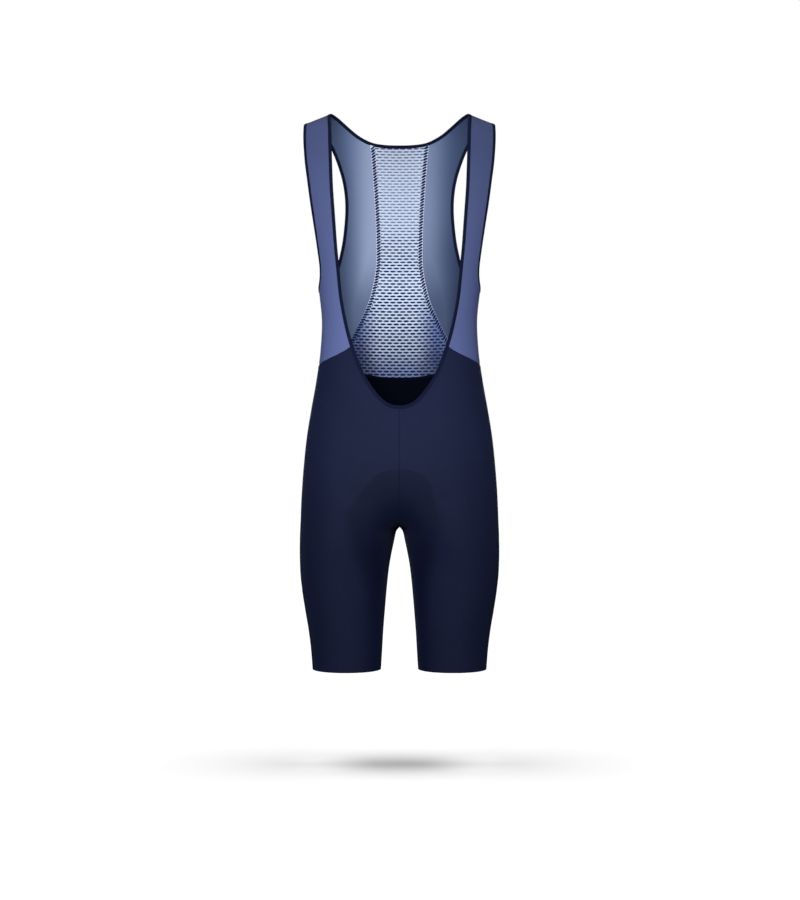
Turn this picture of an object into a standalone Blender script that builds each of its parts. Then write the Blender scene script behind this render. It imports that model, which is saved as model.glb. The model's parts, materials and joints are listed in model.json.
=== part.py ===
"""Cycling bib shorts, filled out as when worn, with no wearer.

Run with: blender --background --python part.py

The origin is midway between the two straps, where they cross the top of the shoulders, which hold
the garment up. +Z is up, the front faces -Y and +X is the garment's left side as its wearer
would say, on the right when seen from the front. Lengths below are in millimetres, and each mesh
is scaled to metres when it is made.

Every piece of cloth is a wall laid on one body form. A point of the form's upper part is named by
a chart (angle, walk): angle turns from the front centre (-90 degrees) past the side (0) to the back
centre (90), and walk is the distance gone down from the top of the shoulder. A negative walk
crosses the shoulder to the other face, so a strap is one smooth stretch of the chart.
"""

import math

import bpy
import numpy as np

MM = 0.001

# --- Driving sizes -----------------------------------------------------------------------------

HEM_DROP = 921.0  # strap top to leg hem
CROTCH_DROP = 686.0  # strap top to crotch, which leaves a 235 inseam
HIP_DROP = 575.0  # the torso's sections start to part into two legs here
SHOULDER_ROLL = 125.0  # height over which the form rounds in to the top of the shoulder
SHOULDER_SLOPE = 0.41  # fall of the shoulder line, outwards
SHOULDER_SLOPE_SOFTENING = 40.0  # rounds that line where it crosses the middle
SHOULDER_CREST_X = 112.5  # the straps' inner edges cross the top of the shoulder here
SLOPE_FADES_BY_DROP = 290.0  # the sections are level from here down
ROUNDNESS = 2.3  # exponent of the torso's superellipse sections
LEG_ROUNDNESS = 2.1
CROTCH_SQUARENESS = 3.0  # exponent of the crotch seam's U
CROTCH_FILLET = 10.0
HIP_FILLET = 36.0

CLOTH = 1.2  # wall thickness
MESH_CLOTH = 1.4
SEAM_GAP = 0.3
BINDING_WIDTH = 5.2
BINDING_PROUD = 0.5  # the folded binding stands out this far on each face
BINDING_EDGE_PROUD = 0.15  # and this far at its free edge, where it is folded
SHOULDER_SEAM_WALK = -7.0  # the shoulder seam lies just behind the crest

PAD_THICKNESS = 6.5
PAD_RIM = 2.0
PAD_CLEARANCE = 0.4

# Body form, by drop below the straps' top. half_width is to the side, front and back from the
# plane y = 0 that both halves share.
TORSO_COLUMNS = ("drop", "half_width", "front", "back")
TORSO = (
    (0, 186, 80, 80),
    (75, 181, 84, 90),
    (150, 166, 90, 98),
    (220, 148, 93, 96),
    (262, 138.5, 93, 92),
    (292, 134, 93, 89),
    (350, 128.7, 92, 84),
    (392, 131, 92, 84),
    (442, 137.8, 93, 89),
    (491, 146.5, 95, 100),
    (541, 154.4, 97, 110),
    (575, 158, 98, 115),
    (641, 163, 98, 116),
    (700, 165.5, 96, 110),
)

# Leg sections, from the hip down: distance of the outer and inner sides from the middle, and the
# section's centre and half depth front to back.
LEG_COLUMNS = ("drop", "outer", "inner", "centre_y", "half_depth")
LEG = (
    (575, 158, 2.5, 8, 93),
    (641, 163, 2.5, 8, 94),
    (686, 165, 2.5, 8, 92),
    (691, 165.3, 5.6, 8, 91.5),
    (708, 165.8, 10, 8, 90),
    (724, 166, 13.6, 8, 88),
    (757, 165.2, 18.6, 8, 84),
    (790, 161.9, 21.9, 7, 80),
    (823, 156.8, 24.5, 6, 75.5),
    (857, 151, 27, 5, 71),
    (890, 146.9, 28.8, 4, 66.5),
    (921, 144.4, 30.7, 3, 63),
)

# Free edge of the neckline, half of it: across and up. The front rows run from the middle of the
# scoop up to the shoulder, and the back rows on from there to the middle of the back.
NECK_COLUMNS = ("x", "z")
NECK_FRONT = (
    (0, -486.6),
    (17, -483),
    (30.5, -473),
    (40.5, -461),
    (54, -441),
    (65.5, -415.5),
    (78, -380),
    (86.5, -347),
    (92.8, -314),
    (99.3, -252),
    (104.5, -185),
    (108.7, -119),
    (111.2, -48),
)
NECK_BACK = (
    (99.8, -4.4),
    (83.6, -16),
    (67, -26.9),
    (46.8, -35.4),
    (25, -38.4),
    (0, -39),
)

# Free edge of the armhole: the front rows run from the underarm up to the shoulder, and the back
# rows on from there down to the underarm.
UNDERARM_DROP = 292.0
ARM_COLUMNS = ("x", "z")
ARM_FRONT = (
    (132.6, -284),
    (130.9, -273),
    (130.9, -260),
    (133.4, -238),
    (136.8, -214),
    (141.8, -181),
    (146.6, -149),
    (151, -116),
    (155.3, -83),
    (157.8, -52),
    (158.4, -30),
)
ARM_BACK = (
    (152, -17.5),
    (138.5, -22),
    (126, -33),
    (116.3, -48),
    (108.9, -64),
    (103, -80),
    (98, -97),
    (94.5, -116),
    (92.6, -140),
    (93.9, -174),
    (99.5, -217),
    (107.5, -250),
    (119, -274),
    (129, -287),
)
CREST_OUTER_X = 157.0  # where the armhole crosses the top of the shoulder

# The seam between the shorts and everything above them, from the neckline round to the back.
WAIST_SEAM_COLUMNS = ("angle", "drop")
WAIST_SEAM = (
    (-52, 374),
    (-43.7, 391.5),
    (-37, 399),
    (-29.5, 405),
    (-14.5, 413.5),
    (0, 418),
    (30, 424),
    (52, 431),
    (75, 436.2),
    (90, 437),
)

# Half of the mesh back panel: the distance of its side seam from the middle.
MESH_SEAM_COLUMNS = ("drop", "x")
MESH_SEAM = (
    (36, 54),
    (60, 49.5),
    (96, 46),
    (130, 43.2),
    (165, 40.8),
    (200, 39.2),
    (236, 38.8),
    (264, 42),
    (284, 46.2),
    (302, 51),
    (336, 65.5),
    (370, 82.5),
    (405, 102),
    (440, 122),
)

# The columns next to the crotch seam are this far apart, so that the pad can be made from them.
PAD_SPACING_COLUMNS = ("drop", "front", "back")
PAD_SPACING = (
    (575, 14, 16.5),
    (640, 14, 16.5),
    (686, 12, 12.5),
    (740, 11, 11),
)
PAD_FADES_OVER = 60.0  # below the pad the columns even out over this drop

# The pad's outline: how many columns from the seam each row reaches, from the row below the hips
# down past the crotch to the inside of the thighs.
PAD_REACH_COLUMNS = ("front", "back")
PAD_REACH = (
    (2, 3),
    (3, 4),
    (4, 5),
    (4, 5),
    (4, 5),
    (4, 5),
    (4, 5),
    (4, 4),
    (3, 3),
    (2, 2),
    (1, 1),
)

# --- Counts of faces ---------------------------------------------------------------------------

SCOOP_FACES = 6  # columns of the shorts from the front centre to the corner of the scoop
BIB_FRONT_FACES = 7
BIB_BACK_FACES = 5
MESH_HALF_FACES = 7
SHORTS_TOP_ROWS = 6
SHORTS_HIP_ROWS = 8
SHORTS_LEG_ROWS = 13
CROTCH_ROW = SHORTS_TOP_ROWS + SHORTS_HIP_ROWS
CROTCH_ROW_SIDE_DROP = 712.0  # the row that meets the crotch runs down to here at the side
ROW_FALL = 0.6  # the smaller, the nearer to the seams the rows run down
LEG_ROW_CROWDING = 1.3  # above 1, the leg's rows crowd up towards the crotch
BIB_LOW_ROWS = 5
BIB_HIGH_ROWS = 22
BACK_LOW_ROWS = 5
BACK_MIDDLE_ROWS = 13
BACK_TOP_ROWS = 8
ARM_ROWS_BELOW_NECK = 12.0  # the back panels' top rows fan out from this far below the neckline
STATIONS_APART = 0.4  # panels' corners that are nearer than this share a ring of the binding
CURVE_SAMPLES = 600

# --- Colours of the cloth ----------------------------------------------------------------------

NAVY = (0.012, 0.017, 0.042)
BINDING_NAVY = (0.009, 0.013, 0.032)
LAVENDER = (0.085, 0.105, 0.265)
MESH_WHITE = (0.62, 0.66, 0.80)
PAD_BLACK = (0.010, 0.012, 0.020)


# --- Smooth curves through tables --------------------------------------------------------------


def table_curve(rows, columns, key, value):
    """A smooth function of the key column through the value column, with no overshoot."""
    xs = np.array([row[columns.index(key)] for row in rows], float)
    ys = np.array([row[columns.index(value)] for row in rows], float)
    steps, slopes = np.diff(xs), np.diff(ys) / np.diff(xs)
    tangents = np.concatenate([slopes[:1], (slopes[:-1] + slopes[1:]) / 2, slopes[-1:]])
    for i in range(1, len(xs) - 1):
        if slopes[i - 1] * slopes[i] <= 0:
            tangents[i] = 0
        else:
            weights = 2 * steps[i] + steps[i - 1], steps[i] + 2 * steps[i - 1]
            tangents[i] = sum(weights) / (weights[0] / slopes[i - 1] + weights[1] / slopes[i])

    def curve(x):
        x = np.clip(np.asarray(x, float), xs[0], xs[-1])
        i = np.clip(np.searchsorted(xs, x, side="right") - 1, 0, len(xs) - 2)
        t = (x - xs[i]) / steps[i]
        return (
            ys[i] * (1 + 2 * t) * (1 - t) ** 2
            + tangents[i] * steps[i] * t * (1 - t) ** 2
            + ys[i + 1] * t * t * (3 - 2 * t)
            + tangents[i + 1] * steps[i] * t * t * (t - 1)
        )

    return curve


half_width = table_curve(TORSO, TORSO_COLUMNS, "drop", "half_width")
front_depth = table_curve(TORSO, TORSO_COLUMNS, "drop", "front")
back_depth = table_curve(TORSO, TORSO_COLUMNS, "drop", "back")
leg_outer = table_curve(LEG, LEG_COLUMNS, "drop", "outer")
leg_inner = table_curve(LEG, LEG_COLUMNS, "drop", "inner")
leg_centre_y = table_curve(LEG, LEG_COLUMNS, "drop", "centre_y")
leg_half_depth = table_curve(LEG, LEG_COLUMNS, "drop", "half_depth")
waist_seam_drop = table_curve(WAIST_SEAM, WAIST_SEAM_COLUMNS, "angle", "drop")
mesh_seam_x = table_curve(MESH_SEAM, MESH_SEAM_COLUMNS, "drop", "x")
pad_front_spacing = table_curve(PAD_SPACING, PAD_SPACING_COLUMNS, "drop", "front")
pad_back_spacing = table_curve(PAD_SPACING, PAD_SPACING_COLUMNS, "drop", "back")


def smooth_step(t):
    t = np.clip(t, 0, 1)
    return t * t * (3 - 2 * t)


# --- Body form: torso and shoulders ------------------------------------------------------------

ROLL_WALK = SHOULDER_ROLL * math.pi / 2  # walk from the crest to the foot of the shoulder's round


def drop_of_walk(walk):
    walk = np.abs(walk)
    rounded = SHOULDER_ROLL * (1 - np.cos(np.minimum(walk, ROLL_WALK) / SHOULDER_ROLL))
    return np.where(walk < ROLL_WALK, rounded, walk - ROLL_WALK + SHOULDER_ROLL)


def walk_of_drop(drop):
    rounded = SHOULDER_ROLL * np.arccos(np.clip(1 - drop / SHOULDER_ROLL, -1, 1))
    return np.where(drop < SHOULDER_ROLL, rounded, drop - SHOULDER_ROLL + ROLL_WALK)


def crest_height(x):
    """Height of the shoulder line, above where the straps' inner edges cross it."""
    soft = np.hypot(x, SHOULDER_SLOPE_SOFTENING)
    return SHOULDER_SLOPE * (math.hypot(SHOULDER_CREST_X, SHOULDER_SLOPE_SOFTENING) - soft)


def slope_left(drop):
    """How much of the shoulder line's slope a section still has."""
    return 1 - smooth_step(drop / SLOPE_FADES_BY_DROP)


def form_point(angle, walk):
    """Points of the form's left half (+X) from the chart. Angles are in degrees."""
    angle, walk = np.broadcast_arrays(np.asarray(angle, float), np.asarray(walk, float))
    turn = np.radians(np.where(walk < 0, -angle, angle))
    drop = drop_of_walk(walk)
    depth = np.where(np.sin(turn) < 0, front_depth(drop), back_depth(drop))
    across = np.abs(np.cos(turn)) / half_width(drop)
    along = np.abs(np.sin(turn)) / depth
    radius = (across**ROUNDNESS + along**ROUNDNESS) ** (-1 / ROUNDNESS)
    round_in = np.sin(np.minimum(np.abs(walk), ROLL_WALK) / SHOULDER_ROLL)
    x = radius * np.cos(turn)
    y = radius * np.sin(turn) * round_in
    z = crest_height(x) * slope_left(drop) - drop
    return np.stack([x, y, z], axis=-1)


def form_slopes(angle, walk):
    """How a form point moves for a degree of angle and for a millimetre of walk."""
    step = 0.05
    by_angle = (form_point(angle + step, walk) - form_point(angle - step, walk)) / (2 * step)
    by_walk = (form_point(angle, walk + step) - form_point(angle, walk - step)) / (2 * step)
    return by_angle, by_walk


def unit(vectors):
    return vectors / np.maximum(np.linalg.norm(vectors, axis=-1, keepdims=True), 1e-9)


def form_normal(angle, walk):
    by_angle, by_walk = form_slopes(np.asarray(angle, float), np.asarray(walk, float))
    return unit(np.cross(by_walk, by_angle))


def chart_of(x, z, back):
    """The chart place (angle, walk) of the form's point at this x and z, on the front or back."""
    low, high = 0.0, HIP_DROP
    for _ in range(50):
        drop = (low + high) / 2
        if crest_height(x) * slope_left(drop) - drop > z:
            low = drop
        else:
            high = drop
    depth = (back_depth if back else front_depth)(drop)
    share = min(1.0, x / float(half_width(drop)))
    y = float(depth) * (1 - share**ROUNDNESS) ** (1 / ROUNDNESS)
    walk = float(walk_of_drop(drop))
    return -math.degrees(math.atan2(y, x)), -walk if back else walk


# --- Body form: hips and legs ------------------------------------------------------------------


def torso_gap(x, y, drop):
    """About how far a point lies outside the torso's section."""
    depth = np.where(y < 0, front_depth(drop), back_depth(drop))
    across, along = np.abs(x) / half_width(drop), np.abs(y) / depth
    return ((across**ROUNDNESS + along**ROUNDNESS) ** (1 / ROUNDNESS) - 1) * depth


def leg_gap(x, y, drop):
    """About how far a point lies outside the left leg's section."""
    half = (leg_outer(drop) - leg_inner(drop)) / 2
    across = np.abs(x - leg_inner(drop) - half) / half
    along = np.abs(y - leg_centre_y(drop)) / leg_half_depth(drop)
    return ((across**LEG_ROUNDNESS + along**LEG_ROUNDNESS) ** (1 / LEG_ROUNDNESS) - 1) * half


def hip_share(drop):
    """0 at the hips and 1 at the crotch."""
    return np.clip((drop - HIP_DROP) / (CROTCH_DROP - HIP_DROP), 0, 1)


def legs_gap(x, y, drop):
    """As leg_gap for the two legs, with a fillet between them."""
    fillet = HIP_FILLET + (CROTCH_FILLET - HIP_FILLET) * hip_share(drop) ** 3
    one, other = leg_gap(x, y, drop), leg_gap(-x, y, drop)
    closeness = np.clip(1 - np.abs(one - other) / fillet, 0, 1)
    return np.minimum(one, other) - closeness**2 * fillet / 4


def legs_weight(drop):
    """Share of the legs in a section, so that the front of the crotch seam is a rounded U."""
    share = np.minimum(hip_share(drop), 1 - 1e-6)
    reach = (1 - share**CROTCH_SQUARENESS) ** (1 / CROTCH_SQUARENESS)
    y = leg_centre_y(drop) - (front_depth(drop) + leg_centre_y(drop)) * reach
    torso, legs = torso_gap(0 * y, y, drop), legs_gap(0 * y, y, drop)
    return np.where(hip_share(drop) < 1, np.clip(-torso / (legs - torso + 1e-9), 0, 1), 1.0)


def body_gap(x, y, drop):
    weight = legs_weight(drop)
    return (1 - weight) * torso_gap(x, y, drop) + weight * legs_gap(x, y, drop)


def body_normal(points):
    """Outward normals of the hips and legs."""
    step = 0.2
    slopes = []
    for axis in range(3):
        move = np.zeros(3)
        move[axis] = step
        ahead, behind = points + move, points - move
        slopes.append(
            body_gap(ahead[..., 0], ahead[..., 1], -ahead[..., 2])
            - body_gap(behind[..., 0], behind[..., 1], -behind[..., 2])
        )
    return unit(np.stack(slopes, axis=-1))


def first_crossing(gap_at, reach, samples=120):
    """How far along each ray gap_at first turns positive. gap_at takes an array of distances."""
    places = np.linspace(0, reach, samples)[:, None]
    outside = gap_at(places) > 0
    outside[-1] = True
    i = np.maximum(np.argmax(outside, axis=0), 1)
    low, high = places[i - 1, 0], places[i, 0]
    for _ in range(30):
        middle = (low + high) / 2
        beyond = gap_at(middle[None, :])[0] > 0
        low, high = np.where(beyond, low, middle), np.where(beyond, middle, high)
    return (low + high) / 2


def section_centre(drop):
    """The point that the columns of a hip or leg section fan out from."""
    share = float(smooth_step(hip_share(drop)))
    leg_centre_x = float(leg_outer(drop) + leg_inner(drop)) / 2
    return share * leg_centre_x, share * float(leg_centre_y(drop))


def seam_end(drop, side):
    """Where the crotch seam crosses this drop: side -1 for its front and 1 for its back."""
    start = float(leg_centre_y(drop)) * float(hip_share(drop))
    reach = first_crossing(lambda r: body_gap(0 * r, start + side * r, drop), 140.0)
    return start + side * float(reach[0])


def along_rows(points):
    """The length gone at each point of a curve."""
    return np.concatenate([[0], np.cumsum(np.linalg.norm(np.diff(points, axis=0), axis=1))])


def pad_columns(drop, total, count):
    """Lengths along a section at which its columns stand where the pad is made from them."""
    front = pad_front_spacing(drop) * np.arange(max(reach[0] for reach in PAD_REACH) + 1)
    back = pad_back_spacing(drop) * np.arange(max(reach[1] for reach in PAD_REACH) + 1)
    middle = np.linspace(front[-1], total - back[-1], count - len(front) - len(back) + 2)
    return np.concatenate([front, middle[1:-1], total - back[::-1]])


def pad_weight(drop, pad_top, pad_foot):
    """How far the columns of a level follow the pad."""
    return smooth_step((drop - HIP_DROP) / (pad_top - HIP_DROP)) * (
        1 - smooth_step((drop - pad_foot) / PAD_FADES_OVER)
    )


def hip_section(drop, side_drop, shares, weight):
    """A row of the left half, from the front seam to the back seam, or round the leg.

    The row is at drop where it meets the seams, and runs down to side_drop away from them.
    """
    centre_x, centre_y = section_centre(drop)
    first, last = -math.pi, math.pi
    ends = (float(leg_centre_y(drop)),) * 2
    if drop < CROTCH_DROP:
        ends = seam_end(drop, -1), seam_end(drop, 1)
        first = math.atan2(ends[0] - centre_y, -centre_x)
        last = math.atan2(ends[1] - centre_y, -centre_x)

    def section(turns):
        away = np.clip(np.sin(math.pi * (turns - first) / (last - first)), 0, 1)
        level = drop + (side_drop - drop) * away**ROW_FALL
        c, s = np.cos(turns), np.sin(turns)

        def gap_at(r):
            x, y = centre_x + r * c, centre_y + r * s
            return np.maximum(body_gap(x, y, level), -SEAM_GAP - x)

        reach = first_crossing(gap_at, 240.0)
        return np.stack([centre_x + reach * c, centre_y + reach * s, -level], axis=-1)

    dense = np.linspace(first, last, 241)
    along = along_rows(section(dense))
    lengths = np.interp(first + (last - first) * shares, dense, along)
    lengths += weight * (pad_columns(drop, along[-1], len(shares)) - lengths)
    points = section(np.interp(lengths, along, dense))
    if drop <= CROTCH_DROP:
        points[0, :2] = SEAM_GAP / 2, ends[0]
        points[-1, :2] = SEAM_GAP / 2, ends[1]
    return points


def crotch_seam_drops(steps):
    """Drops at even steps along the crotch seam's U, from the hips to the crotch."""
    turn = np.linspace(0, math.pi / 2, 200)
    down = np.sin(turn) ** (2 / CROTCH_SQUARENESS) * (CROTCH_DROP - HIP_DROP)
    in_ = np.cos(turn) ** (2 / CROTCH_SQUARENESS) * float(front_depth(HIP_DROP))
    along = along_rows(np.stack([down, in_], axis=-1))
    drops = HIP_DROP + np.interp(np.linspace(0, along[-1], steps + 1), along, down)
    drops[-1] = CROTCH_DROP
    return drops


# --- Edges on the chart ------------------------------------------------------------------------

DEGREE_LENGTH = 1.8  # about one degree's length on the form, which evens out a curve's spacing


def chart_spline(places, before, after):
    """CURVE_SAMPLES places, evenly spaced on the form, along a smooth curve through these."""
    knots = np.array([before, *places, after], float)
    lengths = np.linalg.norm(np.diff(knots * [DEGREE_LENGTH, 1], axis=0), axis=1) ** 0.5
    times = np.concatenate([[0], np.cumsum(lengths)])
    dense = []
    for i in range(1, len(knots) - 2):
        t = np.linspace(times[i], times[i + 1], 40, endpoint=False)[:, None]
        p, s = knots[i - 1 : i + 3], times[i - 1 : i + 3]
        a = [(p[j] * (s[j + 1] - t) + p[j + 1] * (t - s[j])) / (s[j + 1] - s[j]) for j in range(3)]
        b = [(a[j] * (s[j + 2] - t) + a[j + 1] * (t - s[j])) / (s[j + 2] - s[j]) for j in range(2)]
        dense.append((b[0] * (s[2] - t) + b[1] * (t - s[1])) / (s[2] - s[1]))
    dense = np.concatenate([*dense, knots[-2:-1]])
    return respaced(dense, CURVE_SAMPLES)


def respaced(places, count):
    """count places along a curve at even distances on the form."""
    along = along_rows(form_point(places[:, 0], places[:, 1]))
    wanted = np.linspace(0, along[-1], count)
    return np.stack([np.interp(wanted, along, column) for column in places.T], axis=-1)


def moved_in(places, distance, side):
    """An edge moved over the form by a distance, to its left (1) or right (-1)."""
    points = form_point(places[:, 0], places[:, 1])
    tangents = unit(np.gradient(points, axis=0))
    by_angle, by_walk = form_slopes(places[:, 0], places[:, 1])
    move = side * distance * unit(np.cross(form_normal(places[:, 0], places[:, 1]), tangents))
    aa, aw, ww = (np.sum(p * q, axis=1) for p, q in
                  ((by_angle, by_angle), (by_angle, by_walk), (by_walk, by_walk)))
    am, wm = np.sum(by_angle * move, axis=1), np.sum(by_walk * move, axis=1)
    size = aa * ww - aw * aw
    change = np.stack([(am * ww - wm * aw) / size, (wm * aa - am * aw) / size], axis=-1)
    return places + change


def neck_edge():
    """The neckline's free edge, from the front centre over the shoulder to the back centre."""
    places = [chart_of(x, z, back=False) for x, z in NECK_FRONT]
    places.append(chart_of(SHOULDER_CREST_X, 0.0, back=False))
    places += [chart_of(x, z, back=True) for x, z in NECK_BACK]
    before = (-180 - places[1][0], places[1][1])
    after = (-180 - places[-2][0], places[-2][1])
    return chart_spline(places, before, after)


def arm_edge():
    """The armhole's free edge, from the underarm up the front, over and down the back."""
    underarm = float(walk_of_drop(UNDERARM_DROP))
    places = [(0.0, underarm)]
    places += [chart_of(x, z, back=False) for x, z in ARM_FRONT]
    places.append(chart_of(CREST_OUTER_X, float(crest_height(CREST_OUTER_X)), back=False))
    places += [chart_of(x, z, back=True) for x, z in ARM_BACK]
    places.append((0.0, -underarm))
    before = (-places[-2][0], -places[-2][1])
    after = (-places[1][0], -places[1][1])
    return chart_spline(places, before, after)


class BoundEdge:
    """A bound edge: chart curves of its free edge, its binding's inner edge and the cloth.

    A station is a place on all three at once, which is how panels and bindings stay matched.
    """

    def __init__(self, free, side):
        self.free = free
        self.inner = moved_in(free, BINDING_WIDTH, side)
        self.cloth = moved_in(free, BINDING_WIDTH + SEAM_GAP, side)
        self.all_stations = np.arange(len(free), dtype=float)
        self.used = []

    def place(self, curve, stations):
        return np.stack([np.interp(stations, self.all_stations, c) for c in curve.T], axis=-1)

    def cloth_at(self, stations):
        """Chart places of a panel's edge, which the binding will follow."""
        self.used += list(np.atleast_1d(stations))
        return self.place(self.cloth, stations)

    def station_at_walk(self, walk):
        return float(np.interp(-walk, -self.cloth[:, 1], self.all_stations))

    def between(self, start, end, count):
        """Stations from start to end, evenly spaced on the form."""
        along = along_rows(form_point(self.cloth[:, 0], self.cloth[:, 1]))
        first, last = np.interp([start, end], self.all_stations, along)
        return np.interp(np.linspace(first, last, count), along, self.all_stations)

    def kept_stations(self, closest):
        """The used stations in order, without those nearer than this to the one before."""
        kept = []
        for station in sorted(self.used):
            if not kept or station - kept[-1] > closest:
                kept.append(station)
        return np.array(kept)


NECK = BoundEdge(neck_edge(), -1)
ARM = BoundEdge(arm_edge(), 1)
UNDERARM_WALK = float(ARM.cloth[0, 1])


def scoop_station(angle):
    """The station of the neckline's front at this angle."""
    front = NECK.cloth[:, 1] > walk_of_drop(300)
    return np.interp(angle, NECK.cloth[front, 0], NECK.all_stations[front])


def back_neck_station(angle):
    """The station of the neckline's back at this angle, 90 being its middle."""
    back = NECK.cloth[:, 1] < -10
    return np.interp(angle, -NECK.cloth[back, 0], NECK.all_stations[back])


def turning_positive(values):
    """The place in a list, between two of its numbers, where they turn positive."""
    i = int(np.argmax(values > 0))
    return i - float(values[i] / (values[i] - values[i - 1]))


CORNER_STATION = turning_positive(waist_seam_drop(NECK.cloth[:, 0]) - drop_of_walk(NECK.cloth[:, 1]))
CORNER_ANGLE = float(NECK.place(NECK.cloth, CORNER_STATION)[0])


def mesh_seam_angle(drop):
    """The back angle of the mesh panel's side seam at this drop, with no slope to allow for."""
    x, half, depth = mesh_seam_x(drop), half_width(drop), back_depth(drop)
    y = depth * (1 - (x / half) ** ROUNDNESS) ** (1 / ROUNDNESS)
    return np.degrees(np.arctan2(y, x))


def mesh_seam_foot():
    """The drop at which the mesh panel's side seam meets the waist seam."""
    drops = np.arange(380.0, 440.0)
    return 380 + turning_positive(drops - waist_seam_drop(mesh_seam_angle(drops)))


def mesh_seam_top():
    """The station at which that seam meets the back neckline's cloth edge."""
    angle, walk = NECK.cloth.T
    return turning_positive(np.where(walk < -10, -angle - mesh_seam_angle(drop_of_walk(walk)), -1))


MESH_FOOT_DROP = mesh_seam_foot()
FOOT_ANGLE = float(mesh_seam_angle(MESH_FOOT_DROP))
MESH_TOP_STATION = mesh_seam_top()
MESH_TOP_WALK = -float(NECK.place(NECK.cloth, MESH_TOP_STATION)[1])
SHOULDER_NECK_STATION = NECK.station_at_walk(SHOULDER_SEAM_WALK)
SHOULDER_ARM_STATION = ARM.station_at_walk(SHOULDER_SEAM_WALK)


# --- Solids ------------------------------------------------------------------------------------


def material(name, colour, roughness):
    made = bpy.data.materials.new(name)
    made.use_nodes = True
    shader = made.node_tree.nodes["Principled BSDF"]
    shader.inputs["Base Color"].default_value = (*colour, 1)
    shader.inputs["Roughness"].default_value = roughness
    shader.inputs["Metallic"].default_value = 0.0
    return made


def add_solid(name, points, faces, finish):
    """A named object from points in millimetres, with its faces pointing out."""
    mesh = bpy.data.meshes.new(name)
    mesh.from_pydata((np.asarray(points, float) * MM).tolist(), [], faces)
    mesh.update()
    mesh.materials.append(finish)
    mesh.shade_smooth()
    mesh.set_sharp_from_angle(angle=math.radians(50))
    made = bpy.data.objects.new(name, mesh)
    bpy.context.scene.collection.objects.link(made)
    return made


def volume(points, faces):
    total = 0.0
    for face in faces:
        for i in range(1, len(face) - 1):
            a, b, c = (points[face[j]] for j in (0, i, i + 1))
            total += float(np.dot(a, np.cross(b, c)))
    return total


def facing_out(points, faces):
    return faces if volume(points, faces) > 0 else [face[::-1] for face in faces]


def wall(name, outer, inner, finish, welds=None, kept=None, shape=None):
    """A closed wall between two grids of points, cut into triangles.

    welds maps grid places onto others. kept, if given, says which grid places the wall covers.
    Each cell is cut along its shorter diagonal in the grid called shape, outer if not given.
    """
    rows, columns = outer.shape[:2]
    welds = welds or {}
    shape = outer if shape is None else shape
    falling = np.linalg.norm(shape[:-1, :-1] - shape[1:, 1:], axis=-1)
    rising = np.linalg.norm(shape[:-1, 1:] - shape[1:, :-1], axis=-1)
    numbers, points = {}, []

    def number(side, corner):
        place = (side, *welds.get(corner, corner))
        if place not in numbers:
            numbers[place] = len(points)
            points.append((outer if side else inner)[place[1], place[2]])
        return numbers[place]

    faces, edges = [], {}
    for row in range(rows - 1):
        for column in range(columns - 1):
            cell = [(row, column), (row, column + 1), (row + 1, column + 1), (row + 1, column)]
            if falling[row, column] > rising[row, column]:
                cell = cell[1:] + cell[:1]
            cell = [corner for corner in cell if kept is None or kept[corner]]
            triangles = [cell[:3], cell[2:] + cell[:1]] if len(cell) == 4 else [cell]
            for corners in triangles:
                if len({welds.get(corner, corner) for corner in corners}) < 3:
                    continue
                faces.append([number(1, corner) for corner in corners])
                faces.append([number(0, corner) for corner in reversed(corners)])
                for start, end in zip(corners, corners[1:] + corners[:1]):
                    key = frozenset((welds.get(start, start), welds.get(end, end)))
                    edges[key] = None if key in edges else (start, end)
    for start, end in filter(None, edges.values()):
        faces.append([number(1, end), number(1, start), number(0, start), number(0, end)])
    points = np.array(points)
    return add_solid(name, points, facing_out(points, faces), finish)


def mirrored(points):
    return points * np.array([-1, 1, 1])


def both_sides(name, outer, inner, finish, welds=None):
    wall(f"{name}_left", outer, inner, finish, welds)
    wall(f"{name}_right", mirrored(outer), mirrored(inner), finish, welds)


def chart_wall(places, thickness):
    """The outer and inner grids of cloth that lies at these chart places."""
    points = form_point(places[..., 0], places[..., 1])
    normals = form_normal(places[..., 0], places[..., 1])
    return points, points - normals * thickness


# --- The shorts --------------------------------------------------------------------------------


def column_angles():
    """Angles of the shorts' columns, which meet those of the panels above along the seam."""
    stretches = (
        (-90.0, CORNER_ANGLE, SCOOP_FACES),
        (CORNER_ANGLE, 0.0, BIB_FRONT_FACES),
        (0.0, FOOT_ANGLE, BIB_BACK_FACES),
        (FOOT_ANGLE, 90.0, MESH_HALF_FACES),
    )
    parts = [np.linspace(start, end, faces + 1)[:-1] for start, end, faces in stretches]
    return np.concatenate([*parts, [90.0]])


def shorts_top_walks(angles):
    """The walk of the shorts' upper edge: the scoop, then the waist seam."""
    scoop = NECK.cloth_at(scoop_station(angles[angles < CORNER_ANGLE]))[:, 1]
    seam = walk_of_drop(waist_seam_drop(angles[angles >= CORNER_ANGLE]) + SEAM_GAP / 2)
    return np.concatenate([scoop, seam])


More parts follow.
